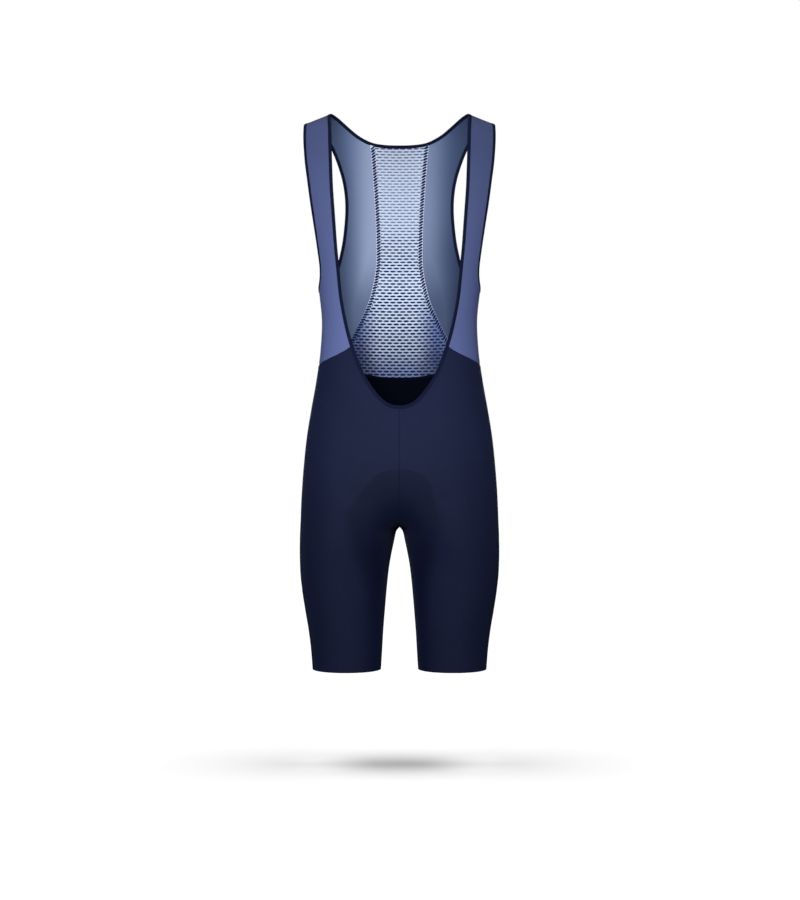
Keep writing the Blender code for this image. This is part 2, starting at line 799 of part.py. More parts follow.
def shorts_rows():
    """The left half's outer points and normals, row by row from the waist seam to the hem."""
    angles = column_angles()
    tops = shorts_top_walks(angles)
    hip_walk = float(walk_of_drop(HIP_DROP))
    points, normals = [], []
    for share in np.linspace(0, 1, SHORTS_TOP_ROWS, endpoint=False):
        walks = tops + (hip_walk - tops) * share
        row = form_point(angles, walks)
        row[[0, -1], 0] = SEAM_GAP / 2
        points.append(row)
        normals.append(form_normal(angles, walks))
    leg_shares = np.linspace(0, 1, SHORTS_LEG_ROWS + 1)[1:]
    leg_drops = CROTCH_DROP + (HEM_DROP - CROTCH_DROP) * leg_shares**LEG_ROW_CROWDING
    drops = np.concatenate([crotch_seam_drops(SHORTS_HIP_ROWS), leg_drops])
    side_drops = np.concatenate([
        np.linspace(HIP_DROP, CROTCH_ROW_SIDE_DROP, SHORTS_HIP_ROWS + 1),
        CROTCH_ROW_SIDE_DROP + (HEM_DROP - CROTCH_ROW_SIDE_DROP) * leg_shares,
    ])
    weights = pad_weight(drops, drops[1], drops[len(PAD_REACH)])
    for drop, side_drop, weight in zip(drops, side_drops, weights):
        row = hip_section(float(drop), float(side_drop), (angles + 90) / 180, float(weight))
        points.append(row)
        normals.append(body_normal(row))
    points, normals = np.array(points), np.array(normals)
    normals[:CROTCH_ROW, [0, -1], 0] = 0
    normals[CROTCH_ROW, [0, -1]] = (0, 0, -1)
    return points, unit(normals)


def shorts(points, normals, finish):
    last = points.shape[1] - 1
    welds = {(row, last): (row, 0) for row in range(CROTCH_ROW, len(points))}
    both_sides("shorts", points, points - normals * CLOTH, finish, welds)


def pad(points, normals, finish):
    """The pad, a crowned sheet made from the shorts' points beside the crotch seam."""
    count = points.shape[1]
    first_row = SHORTS_TOP_ROWS + 1
    kept = np.zeros(points.shape[:2], bool)
    depth = np.zeros(points.shape[:2])
    for i, (front, back) in enumerate(PAD_REACH):
        row = first_row + i
        kept[row, : front + 1] = True
        kept[row, count - 1 - back :] = True
        from_end = min(i, len(PAD_REACH) - 1 - i)
        from_front, from_back = front - np.arange(front + 1), back - np.arange(back + 1)
        depth[row, : front + 1] = np.minimum(from_front, from_end)
        depth[row, count - 1 - back :] = np.minimum(from_back, from_end)[::-1]
    thickness = PAD_RIM + (PAD_THICKNESS - PAD_RIM) * smooth_step(depth / 2)
    outer = points - normals * (CLOTH + PAD_CLEARANCE)
    inner = outer - normals * thickness[..., None]
    for grid in (outer, inner):
        grid[: CROTCH_ROW + 1, [0, -1], 0] = 0
    # The right half, an empty column and the left half.
    shape, outer, inner = (
        np.concatenate([mirrored(grid)[:, ::-1], grid[:, :1], grid], axis=1)
        for grid in (points, outer, inner)
    )
    kept = np.concatenate([kept[:, ::-1], np.zeros((len(kept), 1), bool), kept], axis=1)
    right_back, right_front, left_front, left_back = 0, count - 1, count + 1, 2 * count
    welds = {}
    for row in range(len(points)):
        if row < CROTCH_ROW:
            welds[row, left_front] = (row, right_front)
            welds[row, left_back] = (row, right_back)
        else:
            welds[row, left_back] = (row, left_front)
            welds[row, right_back] = (row, right_front)
    for column in (right_back, right_front, left_back):
        welds[CROTCH_ROW, column] = (CROTCH_ROW, left_front)
    wall("pad", outer, inner, finish, welds, kept, shape)


# --- Bib panels --------------------------------------------------------------------------------


def across(inner, outer, faces):
    """Chart places of a row, straight on the chart from one edge to the other."""
    shares = np.linspace(0, 1, faces + 1)[:, None]
    return inner * (1 - shares) + outer * shares


def rows_above_seam(starts, ends, faces):
    """Chart rows between two sides, the first along the waist seam and the rest less and less."""
    rows = [across(start, end, faces) for start, end in zip(starts, ends)]
    seam = walk_of_drop(waist_seam_drop(rows[0][:, 0]) - SEAM_GAP / 2)
    sag = seam - rows[0][:, 1]
    for i, row in enumerate(rows):
        row[:, 1] += sag * (1 - i / len(rows))
    return rows


def side_places(angle, count):
    """Chart places up the side seam, from the waist seam towards the underarm."""
    low = float(walk_of_drop(waist_seam_drop(0)))
    walks = np.linspace(low, UNDERARM_WALK, count + 1)[:-1]
    return np.stack([np.full(count, angle), walks], axis=-1)


def bib_front(finish):
    """A front strap with the side of the waist under it, sewn behind the top of the shoulder."""
    side_angle = -SEAM_GAP / 2 / DEGREE_LENGTH
    underarm = NECK.station_at_walk(UNDERARM_WALK)
    low = NECK.cloth_at(NECK.between(CORNER_STATION, underarm, BIB_LOW_ROWS + 1)[:-1])
    rows = rows_above_seam(low, side_places(side_angle, BIB_LOW_ROWS), BIB_FRONT_FACES)
    inners = NECK.cloth_at(NECK.between(underarm, SHOULDER_NECK_STATION, BIB_HIGH_ROWS))
    outers = ARM.cloth_at(ARM.between(0, SHOULDER_ARM_STATION, BIB_HIGH_ROWS))
    outers[0, 0] = side_angle
    rows += [across(inner, outer, BIB_FRONT_FACES) for inner, outer in zip(inners, outers)]
    both_sides("bib_front", *chart_wall(np.array(rows), CLOTH), finish)


def mesh_seam_rows():
    """Chart places of the mesh panel's side seam, from the waist seam up to the neckline."""
    foot = float(walk_of_drop(MESH_FOOT_DROP))
    walks = np.linspace(foot, MESH_TOP_WALK, BACK_LOW_ROWS + BACK_MIDDLE_ROWS)
    return np.stack([mesh_seam_angle(drop_of_walk(walks)), walks], axis=-1)


def bib_back(finish):
    """A back panel, from the waist seam up beside the mesh and over to the shoulder seam."""
    gap_angle = SEAM_GAP / 2 / DEGREE_LENGTH
    seam = mesh_seam_rows() - [gap_angle, 0]
    rows = rows_above_seam(
        side_places(gap_angle, BACK_LOW_ROWS), seam[:BACK_LOW_ROWS], BIB_BACK_FACES
    )
    turn = ARM.station_at_walk(-MESH_TOP_WALK - ARM_ROWS_BELOW_NECK)
    sides = -ARM.cloth_at(ARM.between(len(ARM.free) - 1, turn, BACK_MIDDLE_ROWS))
    sides[0, 0] = gap_angle
    rows += [across(side, end, BIB_BACK_FACES) for side, end in zip(sides, seam[BACK_LOW_ROWS:])]
    neck_end = NECK.station_at_walk(SHOULDER_SEAM_WALK - SEAM_GAP)
    arm_end = ARM.station_at_walk(SHOULDER_SEAM_WALK - SEAM_GAP)
    tops = -NECK.cloth_at(NECK.between(MESH_TOP_STATION, neck_end, BACK_TOP_ROWS + 1)[1:])
    sides = -ARM.cloth_at(ARM.between(turn, arm_end, BACK_TOP_ROWS + 1)[1:])
    rows += [across(side, top, BIB_BACK_FACES) for side, top in zip(sides, tops)]
    both_sides("bib_back", *chart_wall(np.array(rows), CLOTH), finish)


def mesh_back(finish):
    """The mesh panel, whose seams spread out towards the waist."""
    gap_angle = SEAM_GAP / 2 / DEGREE_LENGTH
    seam = mesh_seam_rows() + [gap_angle, 0]
    shares = np.linspace(0, 1, MESH_HALF_FACES + 1)
    low_angles = seam[0, 0] + (90 - seam[0, 0]) * shares
    high_angles = seam[-1, 0] + (90 - seam[-1, 0]) * shares
    low = walk_of_drop(waist_seam_drop(low_angles) - SEAM_GAP / 2)
    high = -NECK.cloth_at(back_neck_station(high_angles))[:, 1]
    rows = []
    for share, (angle, walk) in zip(np.linspace(0, 1, len(seam)), seam):
        angles = angle + (90 - angle) * shares
        walks = walk + (low - low[0]) * (1 - share) + (high - high[0]) * share
        rows.append(np.stack([angles, walks], axis=-1))
    outer, inner = chart_wall(np.array(rows), MESH_CLOTH)
    outer = np.concatenate([outer, mirrored(outer)[:, -2::-1]], axis=1)
    inner = np.concatenate([inner, mirrored(inner)[:, -2::-1]], axis=1)
    wall("mesh_back", outer, inner, finish)


# --- Bindings ----------------------------------------------------------------------------------


def binding_section(edge, stations):
    """Rings of a folded binding along an edge: its four corners at each place."""
    rings = []
    for curve, proud in ((edge.free, BINDING_EDGE_PROUD), (edge.inner, BINDING_PROUD)):
        places = edge.place(curve, stations)
        points = form_point(places[:, 0], places[:, 1])
        normals = form_normal(places[:, 0], places[:, 1])
        rings.append(points + normals * proud)
        rings.append(points - normals * (CLOTH + proud))
    return np.stack([rings[0], rings[2], rings[3], rings[1]], axis=1)


def closed_tube(name, rings, finish):
    """A ring-shaped solid through these cross-sections, the last joined to the first."""
    count, sides = rings.shape[:2]
    faces = []
    for i in range(count):
        for j in range(sides):
            a, b = i * sides + j, i * sides + (j + 1) % sides
            c, d = (i + 1) % count * sides + (j + 1) % sides, (i + 1) % count * sides + j
            faces.append([a, b, c, d])
    points = rings.reshape(-1, 3)
    add_solid(name, points, facing_out(points, faces), finish)


def neck_binding(finish):
    half = binding_section(NECK, NECK.kept_stations(STATIONS_APART))
    half[[0, -1], :, 0] = 0
    closed_tube("neck_binding", np.concatenate([half, mirrored(half)[-2:0:-1]]), finish)


def arm_bindings(finish):
    rings = binding_section(ARM, ARM.kept_stations(STATIONS_APART))[:-1]
    closed_tube("arm_binding_left", rings, finish)
    closed_tube("arm_binding_right", mirrored(rings), finish)


# --- The garment -------------------------------------------------------------------------------


def main():
    for old in list(bpy.data.objects):
        bpy.data.objects.remove(old)
    navy = material("navy_knit", NAVY, 0.6)
    lavender = material("lavender_knit", LAVENDER, 0.6)
    binding = material("binding_elastic", BINDING_NAVY, 0.55)
    points, normals = shorts_rows()
    shorts(points, normals, navy)
    pad(points, normals, material("pad_fabric", PAD_BLACK, 0.8))
    bib_front(lavender)
    bib_back(lavender)
    mesh_back(material("mesh_knit", MESH_WHITE, 0.7))
    neck_binding(binding)
    arm_bindings(binding)


main()
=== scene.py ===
"""The looks of the cycling bib shorts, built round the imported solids.

Lengths are in millimetres in the part's own frame, and each mesh is scaled to metres when it is
made. The body form, its tables and its chart (angle, walk) are those of the solids: angle turns
from the front centre (-90 degrees) past the side (0) to the back centre (90), walk is the distance
gone down from the top of the shoulder, and a negative walk lies behind the shoulder. Every cloth
piece here is a finer shell on the same form, with its creases, turned seams and stitches. The form
is worked out for the left half (+X), and the right half is its mirror image. Materials, lights and
camera have their places in metres.
"""

import json
import math

import bmesh
import bpy
import numpy as np
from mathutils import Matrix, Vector

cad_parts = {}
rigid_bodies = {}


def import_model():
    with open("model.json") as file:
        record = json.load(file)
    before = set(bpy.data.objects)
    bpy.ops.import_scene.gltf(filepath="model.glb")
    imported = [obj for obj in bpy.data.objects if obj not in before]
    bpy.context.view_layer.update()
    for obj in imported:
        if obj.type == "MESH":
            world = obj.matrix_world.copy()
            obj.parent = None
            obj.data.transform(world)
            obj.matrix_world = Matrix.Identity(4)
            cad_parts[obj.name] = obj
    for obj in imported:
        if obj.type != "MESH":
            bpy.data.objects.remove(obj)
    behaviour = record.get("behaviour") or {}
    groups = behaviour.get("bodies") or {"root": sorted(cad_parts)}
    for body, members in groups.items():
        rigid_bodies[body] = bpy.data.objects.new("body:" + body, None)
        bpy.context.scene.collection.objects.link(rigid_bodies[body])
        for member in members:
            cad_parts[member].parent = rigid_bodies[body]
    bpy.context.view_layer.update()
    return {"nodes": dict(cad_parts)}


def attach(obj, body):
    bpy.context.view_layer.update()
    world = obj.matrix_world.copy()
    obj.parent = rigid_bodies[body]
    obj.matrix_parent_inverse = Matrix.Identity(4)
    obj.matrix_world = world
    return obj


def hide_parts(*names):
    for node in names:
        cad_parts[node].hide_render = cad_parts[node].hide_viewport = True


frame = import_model()

MM = 0.001
RNG = np.random.default_rng(7)

# --- Driving sizes, as in the solids ------------------------------------------------------------

HEM_DROP = 921.0
CROTCH_DROP = 686.0
HIP_DROP = 575.0
SHOULDER_ROLL = 125.0
SHOULDER_SLOPE = 0.41
SHOULDER_SLOPE_SOFTENING = 40.0
SHOULDER_CREST_X = 112.5
SLOPE_FADES_BY_DROP = 290.0
ROUNDNESS = 2.3
LEG_ROUNDNESS = 2.1
CROTCH_SQUARENESS = 3.0
CROTCH_FILLET = 10.0
HIP_FILLET = 36.0
GROIN_TOP, GROIN_FOOT = 590.0, 752.0  # away from the seam, torso turns to leg over these drops
GROIN_EASES_FROM, GROIN_EASES_OVER = 6.0, 46.0
CLOTH = 1.2
MESH_CLOTH = 1.4
SEAM_GAP = 0.3
BINDING_WIDTH = 5.2
SHOULDER_SEAM_WALK = -7.0

# The form's tables are read by their first column.
TORSO = (  # drop, half width, depth of the front, depth of the back
    (0, 186, 80, 80),
    (75, 181, 84, 90),
    (150, 166, 90, 98),
    (220, 148, 93, 96),
    (262, 138.5, 93, 92),
    (292, 134, 93, 89),
    (350, 128.7, 92, 84),
    (392, 131, 92, 84),
    (442, 137.8, 93, 89),
    (491, 146.5, 95, 100),
    (541, 154.4, 97, 110),
    (575, 158, 98, 115),
    (641, 163, 98, 116),
    (700, 165.5, 96, 110),
)
LEG = (  # drop, x of the outer side, x of the inner side, y of the centre, half depth
    (575, 158, 2.5, 8, 93),
    (641, 163, 2.5, 8, 94),
    (686, 165, 2.5, 8, 92),
    (691, 165.3, 5.6, 8, 91.5),
    (708, 165.8, 10, 8, 90),
    (724, 166, 13.6, 8, 88),
    (757, 165.2, 18.6, 8, 84),
    (790, 161.9, 21.9, 7, 80),
    (823, 156.8, 24.5, 6, 75.5),
    (857, 151, 27, 5, 71),
    (890, 146.9, 28.8, 4, 66.5),
    (921, 144.4, 30.7, 3, 63),
)
NECK_FRONT = (  # x and z along the free edge, as in the next three tables
    (0, -486.6), (17, -483), (30.5, -473), (40.5, -461), (54, -441), (65.5, -415.5), (78, -380),
    (86.5, -347), (92.8, -314), (99.3, -252), (104.5, -185), (108.7, -119), (111.2, -48),
)
NECK_BACK = (
    (99.8, -4.4), (83.6, -16), (67, -26.9), (46.8, -35.4), (25, -38.4), (0, -39),
)
UNDERARM_DROP = 292.0
ARM_FRONT = (
    (132.6, -284), (130.9, -273), (130.9, -260), (133.4, -238), (136.8, -214), (141.8, -181),
    (146.6, -149), (151, -116), (155.3, -83), (157.8, -52), (158.4, -30),
)
ARM_BACK = (
    (152, -17.5), (138.5, -22), (126, -33), (116.3, -48), (108.9, -64), (103, -80), (98, -97),
    (94.5, -116), (92.6, -140), (93.9, -174), (99.5, -217), (107.5, -250), (119, -274),
    (129, -287),
)
CREST_OUTER_X = 157.0
WAIST_SEAM = (  # angle, drop
    (-52, 374), (-43.7, 391.5), (-37, 399), (-29.5, 405), (-14.5, 413.5), (0, 418), (30, 424),
    (52, 431), (75, 436.2), (90, 437),
)
MESH_SEAM = (  # drop, x
    (36, 54), (60, 49.5), (96, 46), (130, 43.2), (165, 40.8), (200, 39.2), (236, 38.8),
    (264, 42), (284, 46.2), (302, 51), (336, 65.5), (370, 82.5), (405, 102), (440, 122),
)

# --- Sizes of the finish ------------------------------------------------------------------------

TUCK = 1.2  # the cloth runs this far in between the two faces of a binding
SEAM_DIP = 0.7  # how far a sewn edge turns in at most
SEAM_DIP_WIDTH = 1.7
SEAM_RIDGE = 0.5  # and how far the cloth stands out over the allowance beside it
SEAM_RIDGE_AT, SEAM_RIDGE_WIDTH = 3.2, 1.4

SCOOP_FACES = 26
SHORTS_BACK_FACES = 80
BIB_FRONT_FACES = 30
BIB_BACK_FACES = 24
MESH_HALF_FACES = 30
SHORTS_TOP_ROWS = 26
SHORTS_HIP_ROWS = 34
SHORTS_LEG_ROWS = 50
CROTCH_ROW = SHORTS_TOP_ROWS + SHORTS_HIP_ROWS
CROTCH_ROW_SIDE_DROP = 712.0
ROW_FALL = 0.6
BIB_LOW_ROWS = 22
BIB_HIGH_ROWS = 90
BACK_LOW_ROWS = 22
BACK_MIDDLE_ROWS = 54
BACK_TOP_ROWS = 34
ARM_ROWS_BELOW_NECK = 12.0
NECK_RINGS, ARM_RINGS = 210, 220  # along one half of the neckline, and round an armhole
CURVE_SAMPLES = 600
RAY_SAMPLES = 100
SEAM_RAY, SECTION_RAY = 140.0, 240.0  # how far rays reach to the crotch seam and round a section
SCOOP_TOP_DROP = 300.0  # the neckline's front below this drop holds the scoop
BACK_NECK_WALK = -10.0  # and its part behind this walk is the back neck
MESH_FOOT_DROPS = (380.0, 440.0)  # the mesh's side seams end between these drops
DIPS_PAST_CROTCH = 3.0  # how far below the crotch the centre seam's dip goes on

# The pad's outline: how far it reaches from the crotch seam, along the cloth.
PAD_OUTLINE = (  # drop, reach in front, reach behind
    (589, 0, 0), (590.5, 16, 22), (594, 27, 38), (600, 36, 52), (609, 45, 64), (625, 54, 76),
    (645, 58, 81), (668, 57, 80), (690, 52, 72), (703, 44, 58), (713, 33, 42), (720, 20, 24),
    (724, 0, 0),
)
# Where the pad shows through on the front: half the width over which the cloth is darker. Past
# the pad it is painted shade, which runs on down the inner thighs and fades there.
SHADE = (  # drop, half width
    (587, 0), (589, 18), (594, 33), (602, 44), (612, 52), (630, 63), (644, 73), (662, 88),
    (700, 84), (760, 70), (830, 54), (900, 44),
)
SHADE_FADES_FROM, SHADE_FADES_BY = 700.0, 900.0
SHADE_LEAN = 0.1  # how much wider it is on the right, and narrower on the left
SHADE_LEANS_FROM, SHADE_LEANS_OVER = 600.0, 40.0  # from this drop on, fully after so much more
SHADE_TOP_SLOPE = 0.9  # how fast the depth inside it grows from its top down
FRONT_Y = 12.0  # the patch lies on the cloth in front of this
OUTSIDE = -20.0  # a depth inside the patch or the pad that is well outside it
PAD_ROWS, PAD_COLUMNS = 70, 22
PAD_END_INSET = 0.05  # its first and last rows lie this far inside its outline
PAD_CLEARANCE = 0.4
PAD_RIM = 1.6
PAD_THICKNESS = 6.5
PAD_THINNEST = 0.9
PAD_RELIEF = 0.9  # how far the pad stands out through the cloth
PAD_RELIEF_WIDTH = 8.0  # over this width at its edge
PAD_CROWN_FROM, PAD_CROWN_OVER = 5.0, 16.0
PAD_SEAM_IN, PAD_SEAM_DIP = 4.2, 0.5  # the row of stitches inside its rim
# Channels moulded into it, along the crotch seam and part of the way out: how far out as a share
# of its reach, their depth and their width.
PAD_CHANNELS = ((0.0, 2.4, 4.5), (0.52, 1.5, 3.2))

# Warp-knit mesh: rows of pointed eyelets, each row half a step along from the one below.
EYELET_STEP = 11.4
EYELET_ROWS_APART = 5.35
EYELET_LENGTH = 10.9
EYELET_UNEVENNESS = (0.02, 0.07)  # of their lengths and heights
EYELET_HEIGHT_TOP = 2.5
EYELET_HEIGHT_FOOT = 3.7
EYELET_BLUNTNESS = 2.6  # 1 for a diamond, and more for rounder sides
EYELET_COLUMNS = 14  # on either side of the middle
EYELETS_SMALL_FROM = 1 / 1.1  # of the way up
LOWEST_EYELETS = 2.4  # over the waist seam
SPARE_ROWS = 5  # as rows stand closer at the top
ROWS_CLOSE_FROM, ROWS_CLOSE_BY = 225.0, 0.00035  # rows stand closer this far up and above
ROW_BOW, ROW_BOW_WIDTH = 0.9, 75.0
ROUND_EXCESS = 0.34  # how much longer the way round the back is than straight across, at most
ROUND_UP_TO = 0.985  # of the half width, and no more further out
NET_RISE = 0.42
NET_CROWN = 0.42  # the net is nearly at its full height at this share of the way from an eyelet
PLY_DEPTH = 0.45  # the plain ply lies this far under either face

# Sewing. The slanted threads of an overlock run from its near side to its far side, over a tape.
MESH_OVERLOCK_PITCH, MESH_OVERLOCK_LEAN = 4.9, 4.5
MESH_OVERLOCK_NEAR, MESH_OVERLOCK_FAR = -0.4, 6.5
MESH_OVERLOCK_RADII = (1.9, 1.55)  # of every other thread
MESH_OVERLOCK_FLATNESS, MESH_OVERLOCK_RISE = 0.25, 0.4
MESH_OVERLOCK_INSIDE, MESH_OVERLOCK_OUTSIDE = 0.35, 0.1  # how far it stands off either face
MESH_TAPE_LAP = 0.8  # the tape reaches this far over the back panel
MESH_TAPE_THICKNESS, MESH_TAPE_RISE = 0.3, 0.15
ALLOWANCE_WIDTH, ALLOWANCE_THICKNESS, ALLOWANCE_CLEARANCE = 6.0, 0.7, 0.1
CENTRE_ALLOWANCE_THICKNESS, CENTRE_ALLOWANCE_CLEARANCE = 0.6, 0.05
OVERLOCK_PITCH, OVERLOCK_LEAN, OVERLOCK_RADIUS, OVERLOCK_RISE = 2.4, 1.2, 0.22, 1.0
OVERLOCK_REACH = 0.45  # of the allowance's width, to either side
BINDING_STITCHES_AT = 0.82  # of the binding's width, from its free edge
BINDING_STITCHES_OFF = 0.40  # how far they stand off either face of the cloth
BINDING_STITCH = (3.0, 2.2, 0.2, 0.16)  # pitch, length, radius and rise
STITCH_SIDES = 6
TAPE_STEPS = 4
# Points along each line that is sewn. The crotch seam runs on into the centre seams.
MESH_SEAM_POINTS, WAIST_SEAM_POINTS, SIDE_SEAM_POINTS = 300, 260, 90
SHOULDER_SEAM_POINTS, CENTRE_SEAM_POINTS, CROTCH_SEAM_STEPS = 40, 40, 60

# Soft creases across the front (side -1) or back (side 1): side, x and z of one end, x and z of
# the other, how deep it is there (a ridge if negative) and how wide.
CREASE_BOW = 0.12  # of its width
CREASE_FACING = 30.0  # it is whole this far in front of the garment's middle, or behind it
CREASES = (
    (-1, 30, -655, 112, -622, 0.9, 11),
    (-1, -34, -652, -104, -612, 1.1, 12),
    (-1, 20, -700, 52, -662, 0.6, 9),
    (-1, -22, -704, -50, -668, 0.5, 8),
    (-1, 62, -470, 132, -545, 0.8, 20),
    (-1, -66, -462, -128, -520, 1.1, 22),
    (-1, 96, -400, 60, -462, 0.5, 12),
    (-1, -98, -402, -70, -446, 0.6, 11),
    (-1, 48, -720, 60, -850, 0.6, 14),
    (-1, -44, -715, -52, -812, 0.7, 12),
    (-1, 116, -700, 104, -880, -0.5, 20),
    (-1, -112, -690, -106, -860, -0.6, 18),
    (1, 22, -640, 100, -610, 1.0, 12),
    (1, -24, -646, -92, -622, 0.9, 13),
    (1, 20, -678, 84, -700, 1.0, 11),
    (1, -18, -680, -90, -706, 1.2, 12),
    (1, 50, -486, 118, -520, 0.7, 18),
    (1, -58, -492, -124, -512, 0.6, 20),
    (1, 40, -748, 64, -850, 0.7, 14),
    (1, -46, -740, -60, -866, 0.6, 13),
    (-1, 92, -500, 98, -800, -1.3, 22),
    (-1, -110, -500, -114, -810, -1.3, 20),
    (-1, -122, -440, -106, -505, 1.8, 16),
    (-1, 140, -330, 106, -352, 0.5, 9),
    (-1, -139, -322, -108, -350, 0.6, 9),
    (1, 130, -318, 96, -330, 0.7, 10),
    (1, -131, -326, -92, -336, 0.6, 11),
)

# --- Camera, floor and light --------------------------------------------------------------------

CAMERA_PLACE = (0.0008, -3.0, -0.5578)
CAMERA_LENS = 72.28
FLOOR_HEIGHT, FLOOR_REACH = -1.08, 12.0
FLOOR_GLOW = 0.44
TOP_LIGHT_TILT, TOP_LIGHT_ANGLE = 18, 32
TOP_LIGHT_ENERGY = 1.14
# Soft boxes: name, place, the point that each faces, width and height, energy.
SOFT_BOXES = (
    ("key", (-0.12, -1.5, -0.30), (0, 0, -0.34), (0.6, 0.6), 16.5),
    ("side_light", (-2.4, -2.0, -0.2), (0, 0, -0.4), (1.0, 1.6), 33),
    ("side_light", (2.4, -2.0, -0.2), (0, 0, -0.4), (1.0, 1.6), 33),
    ("front_fill", (0, -3.6, 0.9), (0, 0, -0.45), (2.4, 1.2), 14),
    ("back_fill", (0, 3.4, 0.2), (0, 0, -0.5), (2.4, 2.0), 60),
    ("top_fill", (0, 0.2, 2.2), (0, 0, -0.4), (2.0, 1.2), 30),
)


# --- Smooth curves through tables ---------------------------------------------------------------


def table_curve(xs, ys):
    """A smooth function through the places in two columns, with no overshoot."""
    steps, slopes = np.diff(xs), np.diff(ys) / np.diff(xs)
    tangents = np.concatenate([slopes[:1], (slopes[:-1] + slopes[1:]) / 2, slopes[-1:]])
    for i in range(1, len(xs) - 1):
        if slopes[i - 1] * slopes[i] <= 0:
            tangents[i] = 0
        else:
            weights = 2 * steps[i] + steps[i - 1], steps[i] + 2 * steps[i - 1]
            tangents[i] = sum(weights) / (weights[0] / slopes[i - 1] + weights[1] / slopes[i])

    def curve(x):
        x = np.clip(np.asarray(x, float), xs[0], xs[-1])
        i = np.clip(np.searchsorted(xs, x, side="right") - 1, 0, len(xs) - 2)
        t = (x - xs[i]) / steps[i]
        return (
            ys[i] * (1 + 2 * t) * (1 - t) ** 2
            + tangents[i] * steps[i] * t * (1 - t) ** 2
            + ys[i + 1] * t * t * (3 - 2 * t)
            + tangents[i + 1] * steps[i] * t * t * (t - 1)
        )

    return curve


def table_curves(rows):
    """For each column after the first, a smooth function of the first."""
    xs, *columns = np.array(rows, float).T
    return [table_curve(xs, column) for column in columns]


half_width, front_depth, back_depth = table_curves(TORSO)
leg_outer, leg_inner, leg_centre_y, leg_half_depth = table_curves(LEG)
(waist_seam_drop,) = table_curves(WAIST_SEAM)
(mesh_seam_x,) = table_curves(MESH_SEAM)
pad_front_reach, pad_back_reach = table_curves(PAD_OUTLINE)
(shade_half_width,) = table_curves(SHADE)


def smooth_step(t):
    """A smooth ramp from 0 to 1 as t goes from 0 to 1."""
    t = np.clip(t, 0, 1)
    return t * t * (3 - 2 * t)


# --- Body form: torso and shoulders -------------------------------------------------------------

ROLL_WALK = SHOULDER_ROLL * math.pi / 2


def drop_of_walk(walk):
    walk = np.abs(walk)
    rounded = SHOULDER_ROLL * (1 - np.cos(np.minimum(walk, ROLL_WALK) / SHOULDER_ROLL))
    return np.where(walk < ROLL_WALK, rounded, walk - ROLL_WALK + SHOULDER_ROLL)


def walk_of_drop(drop):
    rounded = SHOULDER_ROLL * np.arccos(np.clip(1 - drop / SHOULDER_ROLL, -1, 1))
    return np.where(drop < SHOULDER_ROLL, rounded, drop - SHOULDER_ROLL + ROLL_WALK)


def crest_height(x):
    soft = np.hypot(x, SHOULDER_SLOPE_SOFTENING)
    return SHOULDER_SLOPE * (math.hypot(SHOULDER_CREST_X, SHOULDER_SLOPE_SOFTENING) - soft)


def slope_left(drop):
    return 1 - smooth_step(drop / SLOPE_FADES_BY_DROP)


def form_point(angle, walk):
    """Points of the form's left half (+X) from the chart. Angles are in degrees."""
    angle, walk = np.broadcast_arrays(np.asarray(angle, float), np.asarray(walk, float))
    turn = np.radians(np.where(walk < 0, -angle, angle))
    drop = drop_of_walk(walk)
    depth = np.where(np.sin(turn) < 0, front_depth(drop), back_depth(drop))
    across = np.abs(np.cos(turn)) / half_width(drop)
    along = np.abs(np.sin(turn)) / depth
    radius = (across**ROUNDNESS + along**ROUNDNESS) ** (-1 / ROUNDNESS)
    round_in = np.sin(np.minimum(np.abs(walk), ROLL_WALK) / SHOULDER_ROLL)
    x = radius * np.cos(turn)
    y = radius * np.sin(turn) * round_in
    z = crest_height(x) * slope_left(drop) - drop
    return np.stack([x, y, z], axis=-1)


def form_slopes(angle, walk):
    step = 0.05
    by_angle = (form_point(angle + step, walk) - form_point(angle - step, walk)) / (2 * step)
    by_walk = (form_point(angle, walk + step) - form_point(angle, walk - step)) / (2 * step)
    return by_angle, by_walk


def unit(vectors):
    return vectors / np.maximum(np.linalg.norm(vectors, axis=-1, keepdims=True), 1e-9)


def form_normal(angle, walk):
    by_angle, by_walk = form_slopes(np.asarray(angle, float), np.asarray(walk, float))
    return unit(np.cross(by_walk, by_angle))


def drop_at(x, z):
    """The drop at which the form has this x and z."""
    low, high = np.zeros(np.shape(x)), np.full(np.shape(x), HIP_DROP)
    for _ in range(40):
        drop = (low + high) / 2
        above = crest_height(x) * slope_left(drop) - drop > z
        low, high = np.where(above, drop, low), np.where(above, high, drop)
    return (low + high) / 2


def chart_of(x, z, back):
    """The chart place (angle, walk) of the form's point at this x and z, on the front or back."""
    drop = float(drop_at(x, z))
    depth = (back_depth if back else front_depth)(drop)
    share = min(1.0, x / float(half_width(drop)))
    y = float(depth) * (1 - share**ROUNDNESS) ** (1 / ROUNDNESS)
    walk = float(walk_of_drop(drop))
    return -math.degrees(math.atan2(y, x)), -walk if back else walk


# --- Body form: hips and legs -------------------------------------------------------------------


def torso_gap(x, y, drop):
    depth = np.where(y < 0, front_depth(drop), back_depth(drop))
    across, along = np.abs(x) / half_width(drop), np.abs(y) / depth
    return ((across**ROUNDNESS + along**ROUNDNESS) ** (1 / ROUNDNESS) - 1) * depth


def leg_gap(x, y, drop):
    half = (leg_outer(drop) - leg_inner(drop)) / 2
    across = np.abs(x - leg_inner(drop) - half) / half
    along = np.abs(y - leg_centre_y(drop)) / leg_half_depth(drop)
    return ((across**LEG_ROUNDNESS + along**LEG_ROUNDNESS) ** (1 / LEG_ROUNDNESS) - 1) * half


def hip_share(drop):
    return np.clip((drop - HIP_DROP) / (CROTCH_DROP - HIP_DROP), 0, 1)


